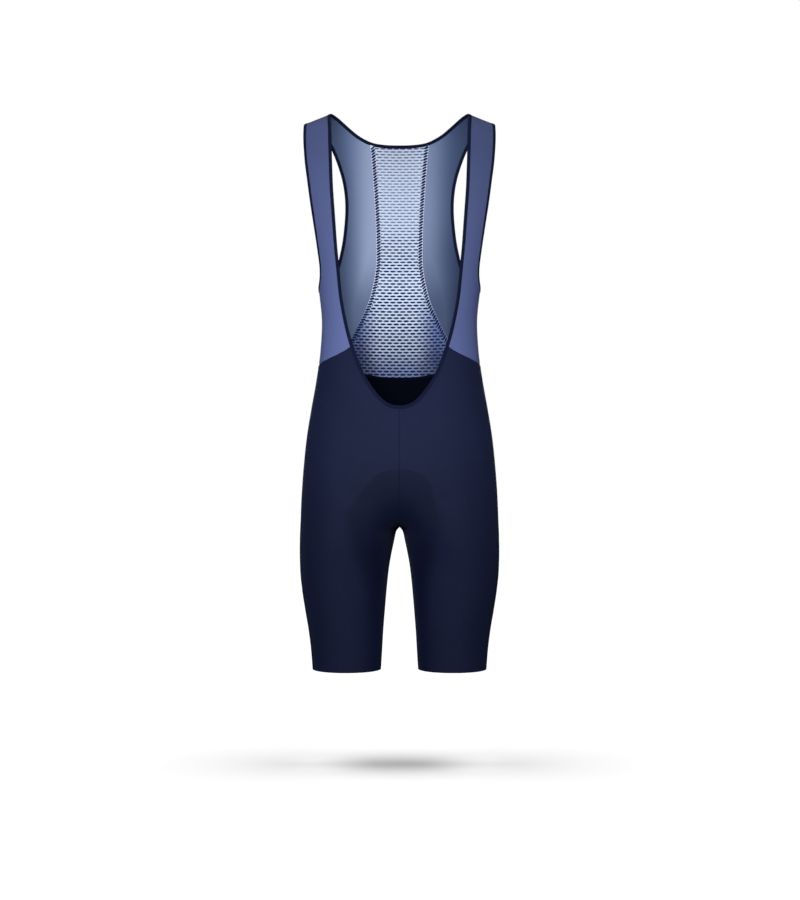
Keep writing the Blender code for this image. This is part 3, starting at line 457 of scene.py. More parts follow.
def legs_gap(x, y, drop):
    fillet = HIP_FILLET + (CROTCH_FILLET - HIP_FILLET) * hip_share(drop) ** 3
    one, other = leg_gap(x, y, drop), leg_gap(-x, y, drop)
    closeness = np.clip(1 - np.abs(one - other) / fillet, 0, 1)
    return np.minimum(one, other) - closeness**2 * fillet / 4


def legs_weight(drop):
    share = np.minimum(hip_share(drop), 1 - 1e-6)
    reach = (1 - share**CROTCH_SQUARENESS) ** (1 / CROTCH_SQUARENESS)
    y = leg_centre_y(drop) - (front_depth(drop) + leg_centre_y(drop)) * reach
    torso, legs = torso_gap(0 * y, y, drop), legs_gap(0 * y, y, drop)
    return np.where(hip_share(drop) < 1, np.clip(-torso / (legs - torso + 1e-9), 0, 1), 1.0)


def legs_weight_at(x, drop):
    """The same weight, with the groin's turn eased away from the crotch seam."""
    beside = legs_weight(drop)
    aside = smooth_step((np.abs(x) - GROIN_EASES_FROM) / GROIN_EASES_OVER)
    return beside + (smooth_step((drop - GROIN_TOP) / (GROIN_FOOT - GROIN_TOP)) - beside) * aside


def body_gap(x, y, drop):
    weight = legs_weight_at(x, drop)
    return (1 - weight) * torso_gap(x, y, drop) + weight * legs_gap(x, y, drop)


def body_normal(points):
    """Outward normals of the hips and legs."""
    step = 0.2
    slopes = []
    for axis in range(3):
        move = np.zeros(3)
        move[axis] = step
        ahead, behind = points + move, points - move
        slopes.append(
            body_gap(ahead[..., 0], ahead[..., 1], -ahead[..., 2])
            - body_gap(behind[..., 0], behind[..., 1], -behind[..., 2])
        )
    return unit(np.stack(slopes, axis=-1))


def first_crossing(gap_at, reach):
    """How far along each ray gap_at first turns positive. gap_at takes an array of distances."""
    places = np.linspace(0, reach, RAY_SAMPLES)[:, None]
    outside = gap_at(places) > 0
    outside[-1] = True
    i = np.maximum(np.argmax(outside, axis=0), 1)
    low, high = places[i - 1, 0], places[i, 0]
    for _ in range(24):
        middle = (low + high) / 2
        beyond = gap_at(middle[None, :])[0] > 0
        low, high = np.where(beyond, low, middle), np.where(beyond, middle, high)
    return (low + high) / 2


def section_centre(drop):
    share = float(smooth_step(hip_share(drop)))
    leg_centre_x = float(leg_outer(drop) + leg_inner(drop)) / 2
    return share * leg_centre_x, share * float(leg_centre_y(drop))


def seam_end(drop, side):
    """Where the crotch seam crosses this drop: side -1 for its front and 1 for its back."""
    start = float(leg_centre_y(drop)) * float(hip_share(drop))
    reach = first_crossing(lambda r: body_gap(0 * r, start + side * r, drop), SEAM_RAY)
    return start + side * float(reach[0])


def along_rows(points):
    """The length gone at each point of a curve."""
    return np.concatenate([[0], np.cumsum(np.linalg.norm(np.diff(points, axis=0), axis=1))])


def hip_section(drop, side_drop, lengths_of):
    """A row of the left half, from the front seam to the back seam, or round the leg.

    The row is at drop where it meets the seams and runs down to side_drop away from them.
    lengths_of gives the wanted lengths along it from its total length.
    """
    centre_x, centre_y = section_centre(drop)
    first, last = -math.pi, math.pi
    ends = (float(leg_centre_y(drop)),) * 2
    if drop < CROTCH_DROP:
        ends = seam_end(drop, -1), seam_end(drop, 1)
        first = math.atan2(ends[0] - centre_y, -centre_x)
        last = math.atan2(ends[1] - centre_y, -centre_x)

    def section(turns):
        away = np.clip(np.sin(math.pi * (turns - first) / (last - first)), 0, 1)
        level = drop + (side_drop - drop) * away**ROW_FALL
        c, s = np.cos(turns), np.sin(turns)

        def gap_at(r):
            x, y = centre_x + r * c, centre_y + r * s
            return np.maximum(body_gap(x, y, level), -SEAM_GAP - x)

        reach = first_crossing(gap_at, SECTION_RAY)
        return np.stack([centre_x + reach * c, centre_y + reach * s, -level], axis=-1)

    dense = np.linspace(first, last, 201)
    along = along_rows(section(dense))
    lengths = lengths_of(along[-1])
    points = section(np.interp(lengths, along, dense))
    if drop <= CROTCH_DROP:
        points[lengths <= 0, :2] = SEAM_GAP / 2, ends[0]
        points[lengths >= along[-1], :2] = SEAM_GAP / 2, ends[1]
    return points, lengths, along[-1]


def crotch_seam_drops(steps):
    """Drops at even steps along the crotch seam's U, from the hips to the crotch."""
    turn = np.linspace(0, math.pi / 2, 200)
    down = np.sin(turn) ** (2 / CROTCH_SQUARENESS) * (CROTCH_DROP - HIP_DROP)
    in_ = np.cos(turn) ** (2 / CROTCH_SQUARENESS) * float(front_depth(HIP_DROP))
    along = along_rows(np.stack([down, in_], axis=-1))
    drops = HIP_DROP + np.interp(np.linspace(0, along[-1], steps + 1), along, down)
    drops[-1] = CROTCH_DROP
    return drops


# --- Edges on the chart -------------------------------------------------------------------------

DEGREE_LENGTH = 1.8  # about one degree's length on the form
GAP_ANGLE = SEAM_GAP / 2 / DEGREE_LENGTH


def chart_spline(places, before, after):
    """CURVE_SAMPLES places, evenly spaced on the form, along a smooth curve through these."""
    knots = np.array([before, *places, after], float)
    lengths = np.linalg.norm(np.diff(knots * [DEGREE_LENGTH, 1], axis=0), axis=1) ** 0.5
    times = np.concatenate([[0], np.cumsum(lengths)])
    dense = []
    for i in range(1, len(knots) - 2):
        t = np.linspace(times[i], times[i + 1], 40, endpoint=False)[:, None]
        p, s = knots[i - 1 : i + 3], times[i - 1 : i + 3]
        a = [(p[j] * (s[j + 1] - t) + p[j + 1] * (t - s[j])) / (s[j + 1] - s[j]) for j in range(3)]
        b = [(a[j] * (s[j + 2] - t) + a[j + 1] * (t - s[j])) / (s[j + 2] - s[j]) for j in range(2)]
        dense.append((b[0] * (s[2] - t) + b[1] * (t - s[1])) / (s[2] - s[1]))
    dense = np.concatenate([*dense, knots[-2:-1]])
    along = along_rows(form_point(dense[:, 0], dense[:, 1]))
    wanted = np.linspace(0, along[-1], CURVE_SAMPLES)
    return np.stack([np.interp(wanted, along, column) for column in dense.T], axis=-1)


def moved_in(places, distance, side):
    """An edge moved over the form by a distance, to its left (1) or right (-1)."""
    tangents = unit(np.gradient(form_point(*places.T), axis=0))
    move = side * distance * unit(np.cross(form_normal(*places.T), tangents))
    slopes = np.stack(form_slopes(*places.T), axis=-1)
    return places + (np.linalg.pinv(slopes) @ move[..., None])[..., 0]


def neck_edge():
    """The neckline's free edge, from the front centre over the shoulder to the back centre."""
    places = [chart_of(x, z, back=False) for x, z in NECK_FRONT]
    places.append(chart_of(SHOULDER_CREST_X, 0.0, back=False))
    places += [chart_of(x, z, back=True) for x, z in NECK_BACK]
    before = (-180 - places[1][0], places[1][1])
    after = (-180 - places[-2][0], places[-2][1])
    return chart_spline(places, before, after)


def arm_edge():
    """The armhole's free edge, from the underarm up the front, over and down the back."""
    underarm = float(walk_of_drop(UNDERARM_DROP))
    places = [(0.0, underarm)]
    places += [chart_of(x, z, back=False) for x, z in ARM_FRONT]
    places.append(chart_of(CREST_OUTER_X, float(crest_height(CREST_OUTER_X)), back=False))
    places += [chart_of(x, z, back=True) for x, z in ARM_BACK]
    places.append((0.0, -underarm))
    before = (-places[-2][0], -places[-2][1])
    after = (-places[1][0], -places[1][1])
    return chart_spline(places, before, after)


class BoundEdge:
    """A bound edge: chart curves of its free edge, its binding's inner edge and the cloth."""

    def __init__(self, free, side):
        self.free = free
        self.inner = moved_in(free, BINDING_WIDTH, side)
        self.cloth = moved_in(free, BINDING_WIDTH - TUCK, side)
        self.all_stations = np.arange(len(free), dtype=float)

    def place(self, curve, stations):
        return np.stack([np.interp(stations, self.all_stations, c) for c in curve.T], axis=-1)

    def cloth_at(self, stations):
        return self.place(self.cloth, stations)

    def station_at_walk(self, walk):
        return float(np.interp(-walk, -self.cloth[:, 1], self.all_stations))

    def between(self, start, end, count):
        """Stations from start to end, evenly spaced on the form."""
        along = along_rows(form_point(self.cloth[:, 0], self.cloth[:, 1]))
        first, last = np.interp([start, end], self.all_stations, along)
        return np.interp(np.linspace(first, last, count), along, self.all_stations)


NECK = BoundEdge(neck_edge(), -1)
ARM = BoundEdge(arm_edge(), 1)
UNDERARM_WALK = float(ARM.cloth[0, 1])


def scoop_station(angle):
    front = NECK.cloth[:, 1] > walk_of_drop(SCOOP_TOP_DROP)
    return np.interp(angle, NECK.cloth[front, 0], NECK.all_stations[front])


def back_neck_station(angle):
    back = NECK.cloth[:, 1] < BACK_NECK_WALK
    return np.interp(angle, -NECK.cloth[back, 0], NECK.all_stations[back])


def turning_positive(values):
    """The place in a list, between two of its numbers, where they turn positive."""
    i = int(np.argmax(values > 0))
    return i - float(values[i] / (values[i] - values[i - 1]))


CORNER_STATION = turning_positive(
    waist_seam_drop(NECK.cloth[:, 0]) - drop_of_walk(NECK.cloth[:, 1])
)
CORNER_ANGLE = float(NECK.place(NECK.cloth, CORNER_STATION)[0])


def back_angle(x, drop):
    """The back angle of the form's point at this x."""
    x = np.minimum(x, 0.999 * half_width(drop))
    y = back_depth(drop) * (1 - (x / half_width(drop)) ** ROUNDNESS) ** (1 / ROUNDNESS)
    return np.degrees(np.arctan2(y, x))


def mesh_seam_angle(drop):
    return back_angle(mesh_seam_x(drop), drop)


def mesh_seam_foot():
    drops = np.arange(*MESH_FOOT_DROPS)
    past = drops - waist_seam_drop(mesh_seam_angle(drops))
    return MESH_FOOT_DROPS[0] + turning_positive(past)


def mesh_seam_top():
    angle, walk = NECK.cloth.T
    past = -angle - mesh_seam_angle(drop_of_walk(walk))
    return turning_positive(np.where(walk < BACK_NECK_WALK, past, -1))


MESH_FOOT_DROP = mesh_seam_foot()
MESH_TOP_STATION = mesh_seam_top()
MESH_TOP_WALK = -float(NECK.place(NECK.cloth, MESH_TOP_STATION)[1])
SHOULDER_NECK_STATION = NECK.station_at_walk(SHOULDER_SEAM_WALK)
SHOULDER_ARM_STATION = ARM.station_at_walk(SHOULDER_SEAM_WALK)


# --- Meshes -------------------------------------------------------------------------------------

TRIMS = {name: [] for name in frame["nodes"]}  # and what is sewn to it


def mirrored(points):
    return points * np.array([-1, 1, 1])


# Each half, and how it comes from the left one.
HALVES = (("left", np.array), ("right", mirrored))


def add_object(name, data):
    made = bpy.data.objects.new(name, data)
    bpy.context.scene.collection.objects.link(made)
    return made


def new_piece(name, points, faces, finishes, sharp=50):
    """A smooth-shaded object on the garment's one body, from points in millimetres."""
    mesh = bpy.data.meshes.new(name)
    mesh.from_pydata((np.asarray(points, float) * MM).tolist(), [], faces)
    for finish in finishes:
        mesh.materials.append(finish)
    mesh.shade_smooth()
    mesh.set_sharp_from_angle(angle=math.radians(sharp))
    made = add_object(name, mesh)
    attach(made, "root")
    return made


def clustered(start, end, faces, at_start, at_end):
    """Numbers from start to end that stand closer together towards the ends asked for."""
    t = np.linspace(0, 1, faces + 1)
    if at_start and at_end:
        t = (1 - np.cos(math.pi * t)) / 2
    elif at_start:
        t = 1 - np.cos(math.pi * t / 2)
    elif at_end:
        t = np.sin(math.pi * t / 2)
    return start + (end - start) * t


def side_lengths(points):
    """For each point of a grid, the lengths gone to it across its row and down its column."""
    across = np.linalg.norm(np.diff(points, axis=1), axis=-1)
    down = np.linalg.norm(np.diff(points, axis=0), axis=-1)
    across = np.concatenate([np.zeros((len(points), 1)), np.cumsum(across, axis=1)], axis=1)
    down = np.concatenate([np.zeros((1, points.shape[1])), np.cumsum(down, axis=0)], axis=0)
    return across, down


def seam_dip(distance):
    """How far cloth turns in at this distance from its sewn edge, less the ridge beside it."""
    ridge = SEAM_RIDGE * np.exp(-(((distance - SEAM_RIDGE_AT) / SEAM_RIDGE_WIDTH) ** 2))
    return SEAM_DIP * np.exp(-((distance / SEAM_DIP_WIDTH) ** 2)) - ridge


def creases(points):
    """How far the soft creases take these points in."""
    depths = np.zeros(points.shape[:-1])
    for side, x0, z0, x1, z1, depth, width in CREASES:
        start, run = np.array([x0, z0], float), np.array([x1 - x0, z1 - z0], float)
        length = np.hypot(*run)
        away = points[..., [0, 2]] - start
        along = away @ run / length**2
        off = np.abs(away[..., 0] * run[1] - away[..., 1] * run[0]) / length
        bow = CREASE_BOW * width * np.sin(math.pi * np.clip(along, 0, 1) * 1.5)
        taper = smooth_step(1.25 - 2.5 * np.abs(along - 0.5))
        facing = smooth_step(side * points[..., 1] / CREASE_FACING)
        depths += depth * taper * facing * np.exp(-(((off + bow) / width) ** 2))
    return depths


def grid_cells(grid):
    """The quads of a grid of numbers."""
    corners = [grid[:-1, :-1], grid[:-1, 1:], grid[1:, 1:], grid[1:, :-1]]
    return np.stack(corners, -1).reshape(-1, 4)


def closed_shell(name, outer, inner, cells, twins, finishes, slot):
    """A closed shell: quads of the outer points, of the inner ones, and a band along free sides.

    twins says for each point which point it is welded to. Returned are the object, and the places
    in the two lists that its points and its face corners came from.
    """
    count = len(outer)
    sides = np.stack([cells, np.roll(cells, -1, axis=1)], -1).reshape(-1, 2)
    keys = np.sort(twins[sides], axis=1)
    _, first, times = np.unique(keys, axis=0, return_index=True, return_counts=True)
    free = sides[first[times == 1]]
    band = np.stack([free[:, 1], free[:, 0], free[:, 0] + count, free[:, 1] + count], -1)
    corners = np.concatenate([cells, cells[:, ::-1] + count, band])
    used, faces = np.unique(np.concatenate([twins, twins + count])[corners], return_inverse=True)
    faces = faces.reshape(corners.shape)
    points = np.concatenate([outer, inner])[used]
    a, b, c = (points[faces[: len(cells), i]] for i in range(3))
    if float(np.sum(np.cross(b - a, c - a) * (outer - inner)[cells[:, 0]])) < 0:
        faces, corners = faces[:, ::-1], corners[:, ::-1]
    made = new_piece(name, points, faces.tolist(), finishes)
    return made, used % count, corners % count


def cloth_shell(node, layer, outer, inner, finishes, slot, welds=(), fields=None):
    """A shell between two grids that replaces a node, with its flat lengths as a UV map.

    finishes are the outer and inner materials. welds are the rows whose last point is their first.
    fields are named numbers, one for each grid place.
    """
    grid = np.arange(outer.size // 3).reshape(outer.shape[:2])
    twins = grid.copy()
    for row in welds:
        twins[row, -1] = twins[row, 0]
    cells = grid_cells(grid)
    outer_points, inner_points = outer.reshape(-1, 3), inner.reshape(-1, 3)
    made, used, corners = closed_shell(
        f"{node}_{layer}", outer_points, inner_points, cells, twins.ravel(), finishes, slot
    )
    mesh = made.data
    if len(finishes) > 1:
        kinds = np.zeros(len(corners), np.int32)
        kinds[len(cells) : 2 * len(cells)] = 1
        mesh.polygons.foreach_set("material_index", kinds)
    across, down = side_lengths(outer)
    flat = np.stack([across - across[:, -1:] / 2, -down], -1).reshape(-1, 2) * MM
    uv = mesh.uv_layers.new(name="cloth")
    uv.data.foreach_set("uv", flat[corners.ravel()].astype(np.float32).ravel())
    for label, values in (fields or {}).items():
        attribute = mesh.attributes.new(label, "FLOAT", "POINT")
        attribute.data.foreach_set("value", values.ravel()[used].astype(np.float32))
    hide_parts(node)


def chart_grid(places):
    return form_point(places[..., 0], places[..., 1]), form_normal(places[..., 0], places[..., 1])


def sweep(name, rings, finish, closed=False):
    """Tubes through rings of points: an array of runs, rings, sides and coordinates."""
    index = np.arange(rings.size // 3).reshape(rings.shape[:3])
    here = index if closed else index[:, :-1]
    following = np.roll(index, -1, axis=1) if closed else index[:, 1:]
    corners = [here, np.roll(here, -1, axis=2), np.roll(following, -1, axis=2), following]
    faces = np.stack(corners, -1).reshape(-1, 4).tolist()
    if not closed:
        faces += index[:, 0, ::-1].tolist() + index[:, -1].tolist()
    return new_piece(name, rings.reshape(-1, 3), faces, [finish])


# --- Stitches -----------------------------------------------------------------------------------


def stitch_rings(starts, ends, normals, radius, lift, flatness=1.0):
    """Rings of short bent threads from starts to ends, standing up along the normals."""
    shares = np.array([0, 0.18, 0.5, 0.82, 1])[:, None]
    rises = np.array([-0.4, 0.7, 1, 0.7, -0.4])[:, None] * lift
    sizes = np.array([0.6, 0.95, 1, 0.95, 0.6])[:, None, None] * radius
    along = unit(ends - starts)
    across = unit(np.cross(normals, along))
    up = np.cross(along, across)
    turns = np.linspace(0, 2 * math.pi, STITCH_SIDES, endpoint=False)[:, None]
    centres = starts[:, None] + (ends - starts)[:, None] * shares + up[:, None] * rises
    sideways = np.cos(turns) * across[:, None, None]
    upward = np.sin(turns) * up[:, None, None] * flatness
    return centres[:, :, None] + (sideways + upward) * sizes


class Path:
    """A line on the cloth, with the cloth's outward normals and the direction across it."""

    def __init__(self, points, normals, depth=0.0):
        self.points, self.normals = points - normals * depth, normals
        self.along = along_rows(self.points)
        self.across = unit(np.cross(normals, np.gradient(self.points, axis=0)))

    def read(self, values, lengths):
        return np.stack([np.interp(lengths, self.along, v) for v in values.T], axis=-1)

    def at(self, lengths, shift=0.0):
        """Points at these lengths, moved sideways, and the normals there."""
        points = self.points + self.across * shift
        return self.read(points, lengths), unit(self.read(self.normals, lengths))

    def shifted(self, shift):
        return Path(self.points + self.across * shift, self.normals)

    def mirrored(self):
        return Path(mirrored(self.points), mirrored(self.normals))


def running(path, pitch, length, radius, lift, face):
    """A row of straight stitches along a path, on the cloth's outer (1) or inner face (-1)."""
    starts = np.arange(pitch / 2, path.along[-1] - length, pitch)
    begin, normals = path.at(starts)
    end, _ = path.at(starts + length)
    return stitch_rings(begin, end, normals * face, radius, lift)


def crossing(path, pitch, lean, sides, radius, lift, face, flatness=1.0, first=0.5):
    """A row of slanted stitches across a path, from one sideways shift to the other."""
    starts = np.arange(pitch * first, path.along[-1] - lean, pitch)
    begin, normals = path.at(starts, sides[0])
    end, _ = path.at(starts + lean, sides[1])
    return stitch_rings(begin, end, normals * face, radius, lift, flatness)


def chart_path(places, depth):
    return Path(*chart_grid(places), depth)


def tape_ring(path, width, thickness, depth):
    """Rings of a flat strip that lies under the cloth along a path."""
    shares = np.linspace(-0.5, 0.5, TAPE_STEPS)
    across = np.concatenate([shares, shares[::-1]])[:, None] * width
    down = np.repeat([depth, depth + thickness], TAPE_STEPS)[:, None]
    rings = path.points[:, None] + path.across[:, None] * across - path.normals[:, None] * down
    return rings[None]


# --- Materials ----------------------------------------------------------------------------------


class Graph:
    """A material's node tree, with short calls to add to it."""

    def __init__(self, name, **sockets):
        self.material = bpy.data.materials.new(name)
        self.material.use_nodes = True
        self.tree = self.material.node_tree
        self.shader = self.tree.nodes["Principled BSDF"]
        for socket, value in sockets.items():
            self.shader.inputs[socket.replace("_", " ")].default_value = value

    def node(self, kind, inputs, **settings):
        """A new node. Each input is another node's output, a number, or a colour of three."""
        made = self.tree.nodes.new(kind)
        for key, value in settings.items():
            setattr(made, key, value)
        for key, value in inputs.items():
            socket = made.inputs[key]
            if isinstance(value, bpy.types.NodeSocket):
                self.tree.links.new(value, socket)
            else:
                socket.default_value = (*value, 1) if socket.type == "RGBA" else value
        return made

    def math(self, operation, first, second=0.0):
        return self.node("ShaderNodeMath", {0: first, 1: second}, operation=operation).outputs[0]

    def times(self, first, second):
        return self.math("MULTIPLY", first, second)

    def ranged(self, value, low, high, to_low=0.0, to_high=1.0):
        """A smooth ramp from to_low to to_high as the value goes from low to high."""
        inputs = {"Value": value, "From Min": low, "From Max": high}
        inputs.update({"To Min": to_low, "To Max": to_high})
        made = self.node("ShaderNodeMapRange", inputs, interpolation_type="SMOOTHSTEP")
        return made.outputs[0]

    def object_place(self):
        return self.node("ShaderNodeTexCoord", {}).outputs["Object"]

    def place(self):
        """The X, Y and Z of the point, in metres."""
        return self.node("ShaderNodeSeparateXYZ", {0: self.object_place()}).outputs

    def field(self, name):
        """One of the numbers that cloth_shell keeps for each point."""
        return self.node("ShaderNodeAttribute", {}, attribute_name=name).outputs["Fac"]

    def noise(self, scale, detail=2.0, vector=None):
        inputs = {"Scale": scale, "Detail": detail, "Vector": vector or self.object_place()}
        return self.node("ShaderNodeTexNoise", inputs).outputs["Fac"]

    def mix(self, share, first, second, blend="MIX"):
        inputs = {0: share, 6: first, 7: second}
        return self.node("ShaderNodeMix", inputs, data_type="RGBA", blend_type=blend).outputs[2]

    def tinted(self, colour, tint):
        return self.mix(1.0, colour, tint, "MULTIPLY")

    def shaded(self, colour, share):
        """A colour made darker or lighter by a share."""
        grey = self.node("ShaderNodeCombineXYZ", {"X": share, "Y": share, "Z": share}).outputs[0]
        made = self.node("ShaderNodeVectorMath", {0: colour, 1: grey}, operation="MULTIPLY")
        return made.outputs[0]

    def colour(self, socket):
        self.tree.links.new(socket, self.shader.inputs["Base Color"])

    def bump(self, height, depth, strength):
        inputs = {"Height": height, "Distance": depth, "Strength": strength}
        made = self.node("ShaderNodeBump", inputs)
        self.tree.links.new(made.outputs[0], self.shader.inputs["Normal"])

    def knit_height(self):
        """The relief of a fine knit: chained V stitches, from the flat lengths."""
        uv = self.node("ShaderNodeUVMap", {}, uv_map="cloth").outputs[0]
        parts = self.node("ShaderNodeSeparateXYZ", {0: uv}).outputs
        u = self.times(parts["X"], 2 * math.pi / WALE)
        v = self.times(parts["Y"], 2 * math.pi / COURSE)
        ribs = self.math("SINE", self.times(u, 2.0))
        loops = self.math("SINE", self.math("ADD", v, self.times(self.math("SINE", u), 0.9)))
        return self.math("ADD", self.times(ribs, 0.4), self.times(loops, 0.6))


WALE, COURSE = 0.00075, 0.0006  # the width and height of the knit's stitches, in metres


def scaled(colour, share):
    return tuple(c * share for c in colour)


def knit(name, colour, mottle, **sockets):
    """A stretch knit: fine stitches, and a faint unevenness in its colour."""
    graph = Graph(name, **{"Roughness": 0.6, "Specular_IOR_Level": 0.08, **sockets})
    cloudy = graph.noise(9.0, 3.0)
    flecks = graph.noise(900.0, 1.0)
    share = graph.math("ADD", graph.times(cloudy, 0.7), graph.times(flecks, 0.3))
    base = graph.mix(share, scaled(colour, 1 - mottle), scaled(colour, 1 + mottle))
    graph.colour(base)
    graph.bump(graph.knit_height(), 0.00009, 0.5)
    return graph, base


def speckled(name, colour, shades, speckles, grain, depth, strength, **sockets):
    """A plain finish with speckles in its colour and a fine grain, each with its noise's scale."""
    graph = Graph(name, **sockets)
    darker, paler = (scaled(colour, share) for share in shades)
    graph.colour(graph.mix(graph.noise(*speckles), darker, paler))
    graph.bump(graph.noise(*grain), depth, strength)
    return graph.material


def thread_finish(name, colour):
    looks = {"Roughness": 0.6, "Specular_IOR_Level": 0.04}
    return speckled(name, colour, (0.8, 1.2), (1500.0,), (4000.0,), 0.00005, 0.5, **looks)


NAVY = (0.0081, 0.0126, 0.0420)
NAVY_SHEEN = (0.45, 0.55, 1.0, 1.0)
# The shorts' inside: the navy painted near black as the shade inside them.
NAVY_INSIDE_SHADE = (0.0012, 0.0025, 0.0080)
LAVENDER = (0.101, 0.130, 0.307)
# The bib's inside: a paler copy of the lavender that paints the light on it.
SLATE_LIT = (0.302, 0.372, 0.555)
SLATE_SHADE = (0.102, 0.145, 0.275)
WHITE = (0.70, 0.80, 1.00)
WHITE_SHADE = (0.155, 0.205, 0.43)
PLY_NAVY = (0.020, 0.036, 0.130)
PLY_SLATE = (0.19, 0.23, 0.40)
BINDING = (0.0052, 0.0085, 0.0290)
PAD_BLACK = (0.010, 0.012, 0.020)

# Shares that darken the navy knit over the pad and as painted shade down the legs and on the inner
# thighs, the painted shade that makes the wearer's left side bluer inside, and the ply's unevenness.
PAD_SHADE = (0.66, 0.68, 0.74)
LEG_SHADE = (0.58, 0.64, 0.70)
THIGH_SHADE = (0.34, 0.50, 0.78)
SLATE_SHADE_TINT = (0.92, 0.96, 1.04)
PLY_SHADE = (0.70, 0.70, 0.75)


def navy_knit():
    """The shorts' knit, darker where the pad shows through, with painted shade past it, down the legs
    and on the inner thighs.
    """
    sheen = {"Sheen_Weight": 0.045, "Sheen_Roughness": 0.45, "Sheen_Tint": NAVY_SHEEN}
    graph, base = knit("navy_knit", NAVY, 0.16, **sheen)
    place = graph.place()
    stretch = {0: graph.object_place(), 1: (480.0, 0.0, 70.0)}
    upright = graph.node("ShaderNodeVectorMath", stretch, operation="MULTIPLY").outputs[0]
    spikes = graph.times(graph.math("SUBTRACT", graph.noise(1.0, 1.0, upright), 0.5), 13.0)
    # The patch: the pad showing through, with painted shade past it round the crotch and down the
    # inner thighs.
    depth = graph.math("ADD", graph.field("pad_shade_depth"), spikes)
    softness = graph.ranged(place["Z"], -0.610, -0.690, 3.0, 26.0)
    inside = graph.ranged(graph.math("DIVIDE", depth, softness), 0.0, 1.0)
    pad_shade_share = graph.times(inside, graph.field("shading_ramp"))
    mixed = graph.mix(pad_shade_share, base, graph.tinted(base, PAD_SHADE))
    # Painted shade down the legs.
    leg_shade_share = graph.ranged(place["Z"], -0.50, -0.74)
    mixed = graph.mix(leg_shade_share, mixed, graph.tinted(mixed, LEG_SHADE))
    # Painted shade on the inner thighs.
    inner = graph.ranged(graph.math("ABSOLUTE", place["X"]), 0.062, 0.028)
    thigh_shade_share = graph.times(inner, graph.ranged(place["Z"], -0.70, -0.76))
    graph.colour(graph.mix(thigh_shade_share, mixed, graph.tinted(mixed, THIGH_SHADE)))
    return graph.material


def ply_knit():
    """What shows through the eyelets: navy by the neck and low down, paler between."""
    graph = Graph("mesh_ply", Roughness=0.85, Specular_IOR_Level=0.05)
    height = graph.place()["Z"]
    low = graph.ranged(height, -0.215, -0.165)
    high = graph.ranged(height, -0.045, -0.080, 0.45, 1.0)
    base = graph.mix(graph.times(low, high), PLY_NAVY, PLY_SLATE)
    graph.colour(graph.mix(graph.noise(400.0), base, graph.tinted(base, PLY_SHADE)))
    return graph.material


def mesh_yarn():
    """The net's white: painted shade low down and to its sides there, painted light palest over the
    waist.
    """
    graph = Graph("mesh_yarn", Roughness=0.8, Specular_IOR_Level=0.25)
    base = graph.mix(graph.noise(700.0, 3.0), scaled(WHITE, 0.86), WHITE)
    place = graph.place()
    height = place["Z"]
    across = graph.math("ABSOLUTE", graph.math("ADD", place["X"], 0.004))
    # Painted shade low down and to the sides there.
    low = graph.ranged(height, -0.375, -0.435, 0.0, 0.85)
    aside = graph.times(graph.ranged(across, 0.026, 0.068), graph.ranged(height, -0.26, -0.35))
    base = graph.mix(graph.math("MAXIMUM", low, aside), base, WHITE_SHADE)
    # Painted light over the waist, and painted shade in the lower corners.
    middle = graph.times(graph.ranged(height, -0.22, -0.31), graph.ranged(height, -0.39, -0.33))
    corners = graph.times(graph.ranged(across, 0.020, 0.055), graph.ranged(height, -0.365, -0.415))
    level = graph.times(
        graph.ranged(middle, 0.0, 1.0, 0.95, 1.21), graph.ranged(corners, 0.0, 1.0, 1.0, 0.60)
    )
    graph.colour(graph.shaded(base, level))
    graph.bump(graph.noise(2600.0, 1.0), 0.00012, 0.7)
    return graph.material


def lavender_knit():
    """The straps' knit, with painted shade at the shoulders and on the wearer's left, and painted
    light towards the waist.
    """
    graph, base = knit("lavender_knit", LAVENDER, 0.05)
    place = graph.place()
    # Painted shade towards the shoulders and painted light towards the waist, by height.
    shading_ramp = graph.ranged(place["Z"], -0.02, -0.36, 0.64, 1.13)
    # Painted shade on the wearer's left.
    leftward_shade = graph.ranged(place["X"], -0.10, 0.10, 1.0, 0.86)
    graph.colour(graph.shaded(base, graph.times(shading_ramp, leftward_shade)))
    return graph.material


def slate_inside():
    """The inside of the same knit, a paler copy with painted light, and painted shade by the arms, at
    the foot and on the wearer's left.
    """
    graph, base = knit("slate_inside", SLATE_LIT, 0.05, Roughness=0.75)
    place = graph.place()
    across = graph.math("ABSOLUTE", place["X"])
    # Painted shade towards the arms and at the foot.
    toward_arm = graph.ranged(across, 0.044, 0.094)
    toward_foot = graph.ranged(place["Z"], -0.20, -0.32, 0.0, 0.75)
    mixed = graph.mix(graph.math("MAXIMUM", toward_arm, toward_foot), base, SLATE_SHADE)
    # Painted shade that is bluer on the wearer's left.
    mixed = graph.mix(graph.ranged(place["X"], -0.02, 0.06), mixed, graph.tinted(mixed, SLATE_SHADE_TINT))
    # Painted shade on the wearer's left, deeper low down.
    on_left = graph.ranged(place["Z"], -0.24, -0.14, 0.50, 0.64)
    leftward_shade = graph.ranged(place["X"], -0.05, 0.11, 1.03, on_left)
    # Painted shade beside the straps.
    strap_shade = graph.ranged(across, 0.085, 0.108, 1.0, 0.76)
    graph.colour(graph.shaded(mixed, graph.times(strap_shade, leftward_shade)))
    return graph.material


SHORTS_FINISH = navy_knit()
